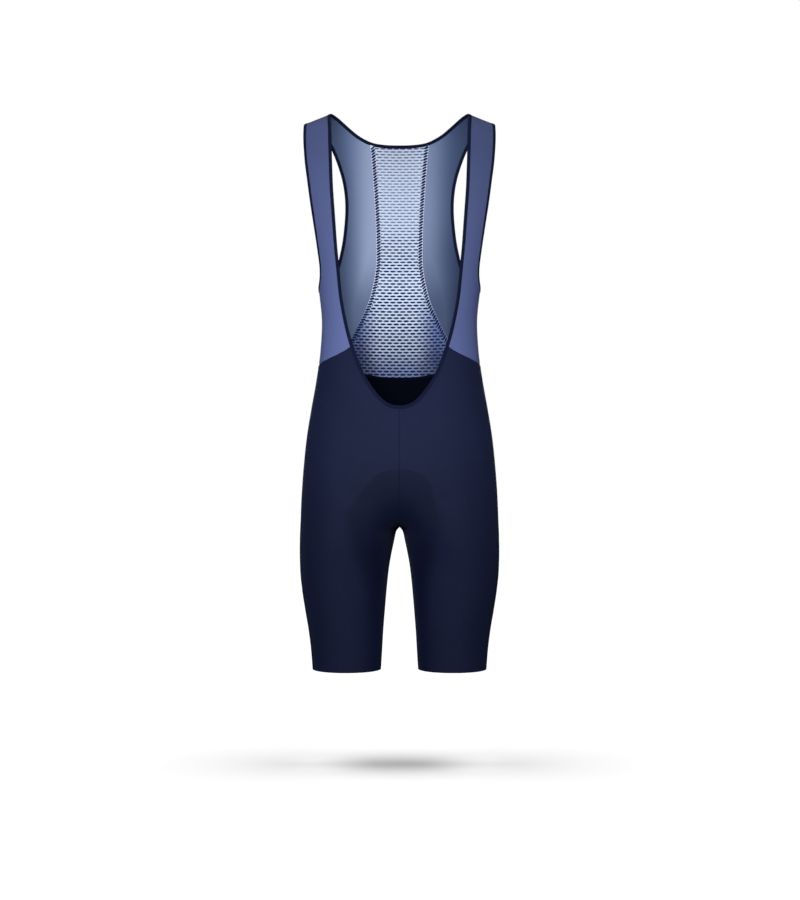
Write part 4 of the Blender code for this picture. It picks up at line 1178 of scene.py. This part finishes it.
# The shorts' inside face and allowances, painted near black as shade.
SHORTS_INSIDE_SHADE = knit(
    "navy_inside_shade", NAVY_INSIDE_SHADE, 0.10, Roughness=0.8, Specular_IOR_Level=0.03
)[0].material
BIB_FINISH = lavender_knit()
BIB_INSIDE = slate_inside()
PLY_FINISH = ply_knit()
YARN_FINISH = mesh_yarn()
BINDING_FINISH = speckled(
    "binding_elastic", BINDING, (0.85, 1.15), (300.0,), (2200.0, 1.0), 0.00008, 0.6,
    Roughness=0.75, Specular_IOR_Level=0.04,
)
NAVY_THREAD = thread_finish("navy_thread", (0.008, 0.012, 0.040))
BLUE_THREAD = thread_finish("blue_thread", (0.011, 0.020, 0.085))
SLATE_THREAD = thread_finish("slate_thread", (0.16, 0.20, 0.34))
PAD_FINISH = speckled(
    "pad_fabric", PAD_BLACK, (0.8, 1.4), (120.0, 3.0), (1200.0,), 0.00015, 0.6,
    Roughness=0.85, Specular_IOR_Level=0.05,
)


# --- The shorts ---------------------------------------------------------------------------------


def pad_shade_depth(drop, from_front, from_back):
    """How far inside the pad's outline a point is, given its lengths from the seam both ways."""
    front = pad_front_reach(drop) - from_front
    back = pad_back_reach(drop) - from_back
    return np.maximum(front, back)


# The darker patch is the pad showing through, with painted shade past the pad.
def shade_depth(points, side):
    """How far inside the darker patch on the front a point is, and below 0 outside it."""
    drop, across = -points[..., 2], np.abs(points[..., 0])
    lean = 1 + SHADE_LEAN * side * smooth_step((drop - SHADE_LEANS_FROM) / SHADE_LEANS_OVER)
    from_side = shade_half_width(drop) * lean - across
    from_top = (drop - SHADE[0][0]) * SHADE_TOP_SLOPE
    return np.where(points[..., 1] < FRONT_Y, np.minimum(from_side, from_top), OUTSIDE)


def shorts_rows():
    """The left half's points, normals and depth inside the pad's outline, row by row."""
    angles = np.concatenate([
        clustered(-90, CORNER_ANGLE, SCOOP_FACES, True, False)[:-1],
        clustered(CORNER_ANGLE, 90, SHORTS_BACK_FACES, False, True),
    ])
    scoop = NECK.cloth_at(scoop_station(angles[angles < CORNER_ANGLE]))[:, 1]
    seam = walk_of_drop(waist_seam_drop(angles[angles >= CORNER_ANGLE]) + SEAM_GAP / 2)
    tops = np.concatenate([scoop, seam])
    hip_walk = float(walk_of_drop(HIP_DROP))
    points, normals, depths = [], [], []
    for share in clustered(0, 1, SHORTS_TOP_ROWS, True, False)[:-1]:
        walks = tops + (hip_walk - tops) * share
        row = form_point(angles, walks)
        row[[0, -1], 0] = SEAM_GAP / 2
        points.append(row)
        normals.append(form_normal(angles, walks))
        depths.append(np.full(len(row), OUTSIDE))
    leg_shares = np.linspace(0, 1, SHORTS_LEG_ROWS + 1)[1:]
    leg_drops = CROTCH_DROP + (HEM_DROP - CROTCH_DROP) * leg_shares**1.3
    drops = np.concatenate([crotch_seam_drops(SHORTS_HIP_ROWS), leg_drops])
    side_drops = np.concatenate([
        np.linspace(HIP_DROP, CROTCH_ROW_SIDE_DROP, SHORTS_HIP_ROWS + 1),
        CROTCH_ROW_SIDE_DROP + (HEM_DROP - CROTCH_ROW_SIDE_DROP) * leg_shares,
    ])
    shares = (angles + 90) / 180
    for drop, side_drop in zip(drops, side_drops):
        row, lengths, total = hip_section(float(drop), float(side_drop), lambda whole: shares * whole)
        points.append(row)
        normals.append(body_normal(row))
        depths.append(np.maximum(pad_shade_depth(drop, lengths, total - lengths), OUTSIDE))
    points, normals = np.array(points), np.array(normals)
    normals[:CROTCH_ROW, [0, -1], 0] = 0
    normals[CROTCH_ROW, [0, -1]] = (0, 0, -1)
    normals = unit(normals)
    return points, normals, np.array(depths)


def centre_share(points):
    """How near the centre-front, crotch and centre-back seam a point is: 1 on it and 0 away."""
    beside = np.abs(points[..., 0]) - SEAM_GAP / 2
    above = -points[..., 2] < CROTCH_DROP + DIPS_PAST_CROTCH
    return np.where(above, np.exp(-((beside / SEAM_DIP_WIDTH) ** 2)), 0)


def make_shorts():
    points, normals, depths = shorts_rows()
    centre = centre_share(points)
    dips = centre * SEAM_DIP + (1 - centre) * seam_dip(side_lengths(points)[1])
    for (half, turned), side in zip(HALVES, (-1, 1)):
        base, out = turned(points), turned(normals)
        # On the front the darker patch is the pad showing through, with painted shade past it;
        # behind, it is the pad's outline.
        depth = np.where(base[..., 1] > FRONT_Y, depths, shade_depth(base, side))
        # shading_ramp fades that patch, and the pad's relief, down the legs.
        fades = (-base[..., 2] - SHADE_FADES_FROM) / (SHADE_FADES_BY - SHADE_FADES_FROM)
        shading_ramp = 1 - smooth_step(fades)
        lift = PAD_RELIEF * smooth_step((depth + 1) / PAD_RELIEF_WIDTH) * shading_ramp
        outer = base + out * (lift - creases(base) - dips)[..., None]
        outer[: CROTCH_ROW + 1, [0, -1], 0] = base[: CROTCH_ROW + 1, [0, -1], 0]
        cloth_shell(
            f"shorts_{half}", "cloth", outer, outer - out * CLOTH,
            [SHORTS_FINISH, SHORTS_INSIDE_SHADE], "navy_knit",
            range(CROTCH_ROW, len(points)), {"pad_shade_depth": depth, "shading_ramp": shading_ramp},
        )


# --- Bib panels ---------------------------------------------------------------------------------


def across_row(inner, outer, shares):
    return inner * (1 - shares[:, None]) + outer * shares[:, None]


def rows_above_seam(starts, ends, shares):
    """Chart rows between two sides, the first along the waist seam and the rest less and less."""
    rows = [across_row(start, end, shares) for start, end in zip(starts, ends)]
    seam = walk_of_drop(waist_seam_drop(rows[0][:, 0]) - SEAM_GAP / 2)
    sag = seam - rows[0][:, 1]
    for i, row in enumerate(rows):
        row[:, 1] += sag * (1 - i / len(rows))
    return rows


def side_places(angle, count):
    low = float(walk_of_drop(waist_seam_drop(0)))
    walks = np.linspace(low, UNDERARM_WALK, count + 1)[:-1]
    return np.stack([np.full(count, angle), walks], axis=-1)


def add_bib(name, places):
    """Both halves of a bib panel, sewn at its top and foot."""
    points, normals = chart_grid(places)
    for half, turned in HALVES:
        base, out = turned(points), turned(normals)
        down = side_lengths(base)[1]
        dips = seam_dip(np.minimum(down, down[-1:] - down))
        outer = base - out * (creases(base) + dips)[..., None]
        finishes = [BIB_FINISH, BIB_INSIDE]
        cloth_shell(f"{name}_{half}", "cloth", outer, outer - out * CLOTH, finishes, "lavender_knit")


def make_bib_front():
    shares = clustered(0, 1, BIB_FRONT_FACES, False, True)
    underarm = NECK.station_at_walk(UNDERARM_WALK)
    low = NECK.cloth_at(NECK.between(CORNER_STATION, underarm, BIB_LOW_ROWS + 1)[:-1])
    rows = rows_above_seam(low, side_places(-GAP_ANGLE, BIB_LOW_ROWS), shares)
    inners = NECK.cloth_at(NECK.between(underarm, SHOULDER_NECK_STATION, BIB_HIGH_ROWS))
    outers = ARM.cloth_at(ARM.between(0, SHOULDER_ARM_STATION, BIB_HIGH_ROWS))
    outers[0, 0] = -GAP_ANGLE
    rows += [across_row(inner, outer, shares) for inner, outer in zip(inners, outers)]
    add_bib("bib_front", np.array(rows))


def mesh_seam_places(count):
    """Chart places of the mesh panel's side seam, from the waist seam up to the neckline."""
    foot = float(walk_of_drop(MESH_FOOT_DROP))
    walks = np.linspace(foot, MESH_TOP_WALK, count)
    return np.stack([mesh_seam_angle(drop_of_walk(walks)), walks], axis=-1)


def make_bib_back():
    shares = clustered(0, 1, BIB_BACK_FACES, True, True)
    seam = mesh_seam_places(BACK_LOW_ROWS + BACK_MIDDLE_ROWS) - [GAP_ANGLE, 0]
    rows = rows_above_seam(side_places(GAP_ANGLE, BACK_LOW_ROWS), seam[:BACK_LOW_ROWS], shares)
    turn = ARM.station_at_walk(-MESH_TOP_WALK - ARM_ROWS_BELOW_NECK)
    sides = -ARM.cloth_at(ARM.between(len(ARM.free) - 1, turn, BACK_MIDDLE_ROWS))
    sides[0, 0] = GAP_ANGLE
    rows += [across_row(side, end, shares) for side, end in zip(sides, seam[BACK_LOW_ROWS:])]
    neck_end, arm_end = (edge.station_at_walk(SHOULDER_SEAM_WALK - SEAM_GAP) for edge in (NECK, ARM))
    tops = -NECK.cloth_at(NECK.between(MESH_TOP_STATION, neck_end, BACK_TOP_ROWS + 1)[1:])
    sides = -ARM.cloth_at(ARM.between(turn, arm_end, BACK_TOP_ROWS + 1)[1:])
    rows += [across_row(side, top, shares) for side, top in zip(sides, tops)]
    add_bib("bib_back", np.array(rows))


# --- The mesh back ------------------------------------------------------------------------------


def make_mesh_ply():
    seam = mesh_seam_places(BACK_LOW_ROWS + BACK_MIDDLE_ROWS) + [GAP_ANGLE, 0]
    shares = np.linspace(0, 1, MESH_HALF_FACES + 1)
    low_angles, high_angles = (end + (90 - end) * shares for end in seam[[0, -1], 0])
    low = walk_of_drop(waist_seam_drop(low_angles) - SEAM_GAP / 2)
    high = -NECK.cloth_at(back_neck_station(high_angles))[:, 1]
    rows = []
    for share, (angle, walk) in zip(np.linspace(0, 1, len(seam)), seam):
        walks = walk + (low - low[0]) * (1 - share) + (high - high[0]) * share
        rows.append(np.stack([angle + (90 - angle) * shares, walks], axis=-1))
    points, normals = chart_grid(np.array(rows))
    halves = (points - normals * depth for depth in (PLY_DEPTH, MESH_CLOTH - PLY_DEPTH))
    outer, inner = (np.concatenate([half, mirrored(half)[:, -2::-1]], axis=1) for half in halves)
    cloth_shell("mesh_back", "ply", outer, inner, [PLY_FINISH], "mesh_knit")


def x_of_width(width, drop):
    """The x that lies this far round the form's back from its middle, about."""
    x = width
    for _ in range(6):
        lean = np.clip(x / half_width(drop), 0, ROUND_UP_TO) ** ROUNDNESS
        x = width / (1 + ROUND_EXCESS * lean * back_depth(drop) / half_width(drop))
    return x


def net_ring():
    """An eyelet's twelve rim places and those of the brick round it, in shares of their sizes."""
    spans = np.array([1, 0.78, 0.42, 0, -0.42, -0.78])
    rim = np.stack([spans, 1 - np.abs(spans) ** EYELET_BLUNTNESS], -1)
    brick = np.array([(1, 0), (1, 1), (0.5, 1), (0, 1), (-0.5, 1), (-1, 1)])
    return np.concatenate([rim, -rim]), np.concatenate([brick, -brick])


def edge_height(places, x):
    """The height of an edge at the back, by its distance from the middle."""
    edge = form_point(*places.T)
    return np.interp(x, edge[::-1, 0], edge[::-1, 2])


def net_cells(lowest, highest):
    """Each eyelet's rim, the crown round it and its brick, by their way across and height."""
    rim, brick = net_ring()
    rows = np.arange(-1, int((highest - lowest) / EYELET_ROWS_APART) + SPARE_ROWS)
    columns = np.arange(-EYELET_COLUMNS, EYELET_COLUMNS + 1)
    row, column = (grid.ravel() for grid in np.meshgrid(rows, columns, indexing="ij"))
    across = (column + (row % 2) / 2) * EYELET_STEP
    up = LOWEST_EYELETS + row * EYELET_ROWS_APART
    centres = np.stack([across, lowest + up], -1)
    smaller = smooth_step(np.clip(up / (highest - lowest), 0, 1) / EYELETS_SMALL_FROM)
    heights = EYELET_HEIGHT_FOOT + (EYELET_HEIGHT_TOP - EYELET_HEIGHT_FOOT) * smaller
    eye = np.stack([np.full(len(centres), EYELET_LENGTH), heights], -1) / 2
    eye *= 1 + RNG.uniform(-1, 1, eye.shape) * EYELET_UNEVENNESS
    rim_at = centres[:, None] + rim * eye[:, None]
    brick_at = centres[:, None] + brick * np.array([EYELET_STEP, EYELET_ROWS_APART]) / 2
    crown_at = rim_at + (brick_at - rim_at) * NET_CROWN
    return np.stack([rim_at, crown_at, brick_at], axis=1)


def make_net():
    """White net on both faces of the ply, with a pointed eyelet in each brick."""
    angles = np.linspace(30, 90, 200)
    waist = np.stack([angles, walk_of_drop(waist_seam_drop(angles))], -1)
    neck = NECK.cloth[NECK.cloth[:, 1] < BACK_NECK_WALK]
    lowest, highest = (float(edge_height(edge, 0.0)) for edge in (waist, neck))
    cells = net_cells(lowest, highest)
    u, v = cells[..., 0], cells[..., 1]
    closer = ROWS_CLOSE_BY * np.maximum(v - lowest - ROWS_CLOSE_FROM, 0) ** 2
    z = v - closer + ROW_BOW * (u / ROW_BOW_WIDTH) ** 2
    x = x_of_width(np.abs(u), drop_at(np.abs(u), z))
    beside = mesh_seam_x(drop_at(x, z)) - SEAM_GAP
    within = (x < beside) & (z > edge_height(waist, x)) & (z < edge_height(neck, x))
    kept = within.any(axis=(1, 2))
    u, x, z = u[kept], x[kept], z[kept]
    for _ in range(4):
        x = np.minimum(x, mesh_seam_x(drop_at(x, z)) - SEAM_GAP)
    z = np.clip(z, edge_height(waist, x) + SEAM_GAP, edge_height(neck, x))
    drop = drop_at(x, z)
    points, normals = chart_grid(np.stack([-back_angle(x, drop), -walk_of_drop(drop)], -1))
    for grid in (points, normals):
        grid[..., 0] *= np.where(u < 0, -1.0, 1.0)
    rises = np.array([0.0, 0.8, 1.0])[:, None, None] * NET_RISE
    index = np.arange(u.size).reshape(u.shape)
    inner, outer = index[:, :-1], index[:, 1:]
    corners = [inner, outer, np.roll(outer, -1, axis=2), np.roll(inner, -1, axis=2)]
    faces = np.stack(corners, -1).reshape(-1, 4)
    for face, depth, way in (("outside", PLY_DEPTH, 1), ("inside", MESH_CLOTH - PLY_DEPTH, -1)):
        at = (points + normals * (way * rises - depth)).reshape(-1, 3)
        quads = (faces if way < 0 else faces[:, ::-1]).tolist()
        made = new_piece(f"mesh_back_net_{face}", at, quads, [YARN_FINISH], 180)
        weld(made)
        TRIMS["mesh_back"].append(made)


def weld(made):
    """Joins points that meet and drops the faces that this leaves flat."""
    work = bmesh.new()
    work.from_mesh(made.data)
    bmesh.ops.remove_doubles(work, verts=work.verts, dist=0.00002)
    bmesh.ops.dissolve_degenerate(work, edges=work.edges, dist=0.00001)
    loose = [vert for vert in work.verts if not vert.link_faces]
    bmesh.ops.delete(work, geom=loose, context="VERTS")
    work.to_mesh(made.data)
    work.free()


# --- Bindings -----------------------------------------------------------------------------------

# A folded binding's section, down its outer side and back inside the fold: how far from its free
# edge (0) to its inner edge (1), and the height over the cloth's outer face.
BINDING_SECTION = (
    (1.0, 0.02), (1.01, 0.3), (0.96, 0.5), (0.83, 0.42), (0.68, 0.58), (0.35, 0.66),
    (0.1, 0.52), (-0.015, 0.1), (-0.045, -0.6), (-0.015, -1.3), (0.1, -1.72), (0.35, -1.86),
    (0.68, -1.78), (0.83, -1.62), (0.96, -1.7), (1.01, -1.5), (1.0, -1.22), (0.5, -1.24),
    (0.12, -1.2), (0.08, -0.6), (0.12, 0.0), (0.5, 0.04),
)


def binding_places(edge, stations, share):
    """Chart places along a binding, this share of the way from its free edge to its inner one."""
    free, inner = (edge.place(curve, stations) for curve in (edge.free, edge.inner))
    return free + (inner - free) * share


def binding_rings(edge, stations):
    rings = []
    for share, height in BINDING_SECTION:
        points, normals = chart_grid(binding_places(edge, stations, share))
        rings.append(points + normals * height)
    return np.stack(rings, axis=1)


def add_binding(node, rings):
    made = sweep(f"{node}_elastic", rings[None], BINDING_FINISH, closed=True)
    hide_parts(node)


def make_bindings():
    last = len(NECK.free) - 1
    half = binding_rings(NECK, NECK.between(0, last, NECK_RINGS))
    half[[0, -1], :, 0] = 0
    add_binding("neck_binding", np.concatenate([half, mirrored(half)[-2:0:-1]]))
    rings = binding_rings(ARM, ARM.between(0, last, ARM_RINGS))[:-1]
    add_binding("arm_binding_left", rings)
    add_binding("arm_binding_right", mirrored(rings)[:, ::-1])
    stations = np.arange(last + 1.0)
    stitches = {"neck_binding": [], "arm_binding_left": [], "arm_binding_right": []}
    for height, face in ((BINDING_STITCHES_OFF, 1), (-CLOTH - BINDING_STITCHES_OFF, -1)):
        neck, arm = (
            chart_path(binding_places(edge, stations, BINDING_STITCHES_AT), -height)
            for edge in (NECK, ARM)
        )
        for node, path in (
            ("neck_binding", neck),
            ("neck_binding", neck.mirrored()),
            ("arm_binding_left", arm),
            ("arm_binding_right", arm.mirrored()),
        ):
            stitches[node].append(running(path, *BINDING_STITCH, face))
    for node, rings in stitches.items():
        made = sweep(f"{node}_stitches", np.concatenate(rings), NAVY_THREAD)
        TRIMS[node].append(made)


# --- Seams --------------------------------------------------------------------------------------


def make_mesh_seams():
    """Overlocked seams between the mesh and the back panels, which show on both faces."""
    places = mesh_seam_places(MESH_SEAM_POINTS)
    middle, width = (MESH_OVERLOCK_FAR - MESH_TAPE_LAP) / 2, MESH_OVERLOCK_FAR + MESH_TAPE_LAP
    rods, tapes = [], []
    for depth, face in ((CLOTH + MESH_OVERLOCK_INSIDE, -1), (-MESH_OVERLOCK_OUTSIDE, 1)):
        path = chart_path(places, depth)
        for line, inward in ((path, -1), (path.mirrored(), 1)):
            taped = line.shifted(middle * inward)
            tapes.append(tape_ring(taped, width, MESH_TAPE_THICKNESS, -MESH_TAPE_RISE))
            pitch, lean = 2 * MESH_OVERLOCK_PITCH, -MESH_OVERLOCK_LEAN * inward * face
            sides = MESH_OVERLOCK_NEAR * inward, MESH_OVERLOCK_FAR * inward
            for first, radius in zip((0.25, 0.75), MESH_OVERLOCK_RADII):
                looks = radius, MESH_OVERLOCK_RISE, face, MESH_OVERLOCK_FLATNESS
                rods.append(crossing(line, pitch, lean, sides, *looks, first))
    made = sweep("mesh_seam_overlock", np.concatenate(rods), BLUE_THREAD)
    under = sweep("mesh_seam_allowance", np.concatenate(tapes), YARN_FINISH)
    TRIMS["mesh_back"] += [made, under]


def crotch_seam_path(depth):
    """The seam from the front centre under the crotch to the back centre."""
    drops = crotch_seam_drops(CROTCH_SEAM_STEPS)
    low, high = float(walk_of_drop(HIP_DROP)), float(walk_of_drop(waist_seam_drop(90)))
    down = np.linspace(NECK.cloth[0, 1], low, CENTRE_SEAM_POINTS)[:-1]
    up = np.linspace(low, high, CENTRE_SEAM_POINTS)[1:]
    under = [(0, seam_end(drop, -1), -drop) for drop in drops.tolist()]
    under += [(0, seam_end(drop, 1), -drop) for drop in drops[-2::-1].tolist()]
    points = np.concatenate([form_point(-90, down), under, form_point(90, up)]) * [0, 1, 1]
    normals = unit(np.cross(unit(np.gradient(points, axis=0)), [1.0, 0, 0]))
    return Path(points, normals, depth)


def add_allowances(name, line, node, finish, thread, slot):
    """A seam's overlocked allowance, inside both halves."""
    reach = OVERLOCK_REACH * ALLOWANCE_WIDTH
    for half, path in (("left", line), ("right", line.mirrored())):
        rings = tape_ring(path, ALLOWANCE_WIDTH, ALLOWANCE_THICKNESS, 0.0)
        tape = sweep(f"{name}_{half}_allowance", rings, finish)
        looks = OVERLOCK_RADIUS, OVERLOCK_RISE, -1
        rods = crossing(path, OVERLOCK_PITCH, OVERLOCK_LEAN, (-reach, reach), *looks)
        over = sweep(f"{name}_{half}_overlock", rods, thread)
        TRIMS[f"{node}_{half}"] += [tape, over]


def make_seam_allowances():
    """Overlocked seam allowances inside the waist, side, shoulder and centre seams."""
    depth = CLOTH + ALLOWANCE_CLEARANCE
    angles = np.linspace(CORNER_ANGLE, 90, WAIST_SEAM_POINTS)
    waist = chart_path(np.stack([angles, walk_of_drop(waist_seam_drop(angles))], -1), depth)
    walks = np.linspace(float(walk_of_drop(waist_seam_drop(0))), UNDERARM_WALK, SIDE_SEAM_POINTS)
    side = chart_path(np.stack([0 * walks, walks], -1), depth)
    neck, arm = NECK.cloth_at([SHOULDER_NECK_STATION]), ARM.cloth_at([SHOULDER_ARM_STATION])
    across = np.linspace(0, 1, SHOULDER_SEAM_POINTS)[:, None]
    shoulder = chart_path(neck + (arm - neck) * across, depth)
    bib = "bib_front", BIB_INSIDE, SLATE_THREAD, "lavender_knit"
    add_allowances("waist_seam", waist, "shorts", SHORTS_INSIDE_SHADE, NAVY_THREAD, "navy_knit")
    add_allowances("side_seam", side, *bib)
    add_allowances("shoulder_seam", shoulder, *bib)
    middle = crotch_seam_path(CLOTH + CENTRE_ALLOWANCE_CLEARANCE)
    rings = tape_ring(middle, ALLOWANCE_WIDTH, CENTRE_ALLOWANCE_THICKNESS, 0.0)
    TRIMS["shorts_left"].append(sweep("centre_seam_allowance", rings, SHORTS_INSIDE_SHADE))


# --- The pad ------------------------------------------------------------------------------------


def pad_profile(inside, from_seam, reach):
    """The pad's thickness: a thin rim, crowned foam, and channels moulded into it."""
    crown = smooth_step((inside - PAD_CROWN_FROM) / PAD_CROWN_OVER)
    thickness = PAD_RIM + (PAD_THICKNESS - PAD_RIM) * crown
    for share, depth, width in PAD_CHANNELS:
        thickness = thickness - crown * depth * np.exp(-(((from_seam - share * reach) / width) ** 2))
    stitched = PAD_SEAM_DIP * np.exp(-((inside - PAD_SEAM_IN) ** 2))
    return np.maximum(thickness - stitched, PAD_THINNEST)


def make_pad():
    """The pad, on the inside of both halves, as one crowned and channelled sheet."""
    top, foot = PAD_OUTLINE[0][0] + PAD_END_INSET, PAD_OUTLINE[-1][0] - PAD_END_INSET
    drops = clustered(top, foot, PAD_ROWS, True, True)
    crotch = int(np.argmin(np.abs(drops - CROTCH_DROP)))
    drops[crotch] = CROTCH_DROP
    levels = (HIP_DROP, CROTCH_DROP, HEM_DROP), (HIP_DROP, CROTCH_ROW_SIDE_DROP, HEM_DROP)
    shares = np.linspace(0, 1, PAD_COLUMNS)
    outer, inner = [], []
    for drop, side_drop in zip(drops.tolist(), np.interp(drops, *levels).tolist()):
        front, back = float(pad_front_reach(drop)), float(pad_back_reach(drop))
        fronts, backs = front * shares, back * shares[::-1]
        row = hip_section(drop, side_drop, lambda total: np.concatenate([fronts, total - backs]))[0]
        normals = body_normal(row)
        if drop < CROTCH_DROP:
            normals[[0, -1], 0] = 0
        elif drop == CROTCH_DROP:
            normals[[0, -1]] = (0, 0, -1)
        normals = unit(normals)
        from_seam = np.concatenate([fronts, backs])
        reach = np.repeat([front, back], PAD_COLUMNS)
        thickness = pad_profile(reach - from_seam, from_seam, reach)
        skin = row - normals * (CLOTH + PAD_CLEARANCE)
        under = skin - normals * thickness[:, None]
        if drop <= CROTCH_DROP:
            skin[[0, -1], 0] = under[[0, -1], 0] = 0
        outer.append(skin)
        inner.append(under)
    made = pad_shell(np.array(outer), np.array(inner), crotch)
    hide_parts("pad")


def pad_shell(outer, inner, crotch):
    """Welds the left and right, front and back parts of the pad along the crotch seam."""
    rows, columns = outer.shape[:2]
    size = rows * columns
    left = np.arange(size).reshape(rows, columns)
    right = left + size
    right[: crotch + 1, [0, -1]] = left[: crotch + 1, [0, -1]]
    left[crotch:, -1] = left[crotch:, 0]
    right[crotch:, -1] = right[crotch:, 0]
    right[crotch, [0, -1]] = left[crotch, [0, -1]]
    cells = []
    for numbers, way in ((left, 1), (right, -1)):
        for part in (numbers[:, : columns // 2], numbers[:, columns // 2 :]):
            cells.append(grid_cells(part)[:, ::way])
    both = [np.concatenate([g.reshape(-1, 3), mirrored(g).reshape(-1, 3)]) for g in (outer, inner)]
    twins = np.arange(2 * size)
    made, _, _ = closed_shell(
        "pad_foam", *both, np.concatenate(cells), twins, [PAD_FINISH], "pad_fabric"
    )
    weld(made)
    return made


# --- Making it all ------------------------------------------------------------------------------

make_shorts()
make_bib_front()
make_bib_back()
make_mesh_ply()
make_net()
make_bindings()
make_mesh_seams()
make_seam_allowances()
make_pad()


# --- Floor, light and camera --------------------------------------------------------------------


def make_floor():
    reach = FLOOR_REACH
    corners = ((-reach, -reach), (reach, -reach), (reach, reach), (-reach, reach))
    mesh = bpy.data.meshes.new("floor")
    mesh.from_pydata([(*corner, FLOOR_HEIGHT) for corner in corners], [], [(0, 1, 2, 3)])
    finish = Graph("floor_white", Roughness=0.9, Specular_IOR_Level=0.1)
    finish.colour(finish.mix(finish.noise(3.0), (0.93, 0.93, 0.93), (0.95, 0.95, 0.95)))
    finish.shader.inputs["Emission Color"].default_value = (1, 1, 1, 1)
    finish.shader.inputs["Emission Strength"].default_value = FLOOR_GLOW
    mesh.materials.append(finish.material)
    floor = add_object("floor", mesh)
    floor.visible_diffuse = False
    floor.visible_glossy = False
    return floor


def make_world():
    """A white world that the camera alone sees."""
    world = bpy.data.worlds.new("studio")
    world.use_nodes = True
    background = world.node_tree.nodes["Background"]
    background.inputs["Color"].default_value = (1, 1, 1, 1)
    background.inputs["Strength"].default_value = 1.0
    world.cycles_visibility.diffuse = False
    world.cycles_visibility.glossy = False
    bpy.context.scene.world = world


def make_top_lights(floor):
    """Two wide lights that lean to either side and light the floor alone, round the shadow."""
    on_floor = bpy.data.collections.new("lit_by_top_lights")
    on_floor.objects.link(floor)
    for tilt in (-TOP_LIGHT_TILT, TOP_LIGHT_TILT):
        sun = add_object("top_light", bpy.data.lights.new("top_light", "SUN"))
        sun.data.energy = TOP_LIGHT_ENERGY
        sun.data.angle = math.radians(TOP_LIGHT_ANGLE)
        sun.rotation_euler = (0, math.radians(tilt), 0)
        sun.light_linking.receiver_collection = on_floor


def make_soft_boxes(floor):
    """The soft boxes, which light the garment alone."""
    on_part = bpy.data.collections.new("lit_by_soft_boxes")
    for piece in bpy.context.scene.objects:
        if piece.type == "MESH" and piece is not floor:
            on_part.objects.link(piece)
    for name, place, aim, size, energy in SOFT_BOXES:
        light = bpy.data.lights.new(name, "AREA")
        light.shape = "RECTANGLE"
        light.size, light.size_y = size
        light.energy = energy
        box = add_object(name, light)
        box.location = place
        box.rotation_euler = (Vector(aim) - Vector(place)).to_track_quat("-Z", "Y").to_euler()
        box.light_linking.receiver_collection = on_part


def make_camera():
    camera = add_object("camera", bpy.data.cameras.new("camera"))
    camera.data.lens = CAMERA_LENS
    camera.data.sensor_width = 36
    camera.location = CAMERA_PLACE
    camera.rotation_euler = (math.radians(90), 0, 0)
    bpy.context.scene.camera = camera


studio_floor = make_floor()
make_world()
make_top_lights(studio_floor)
make_soft_boxes(studio_floor)
make_camera()
bpy.context.scene.view_settings.view_transform = "Standard"
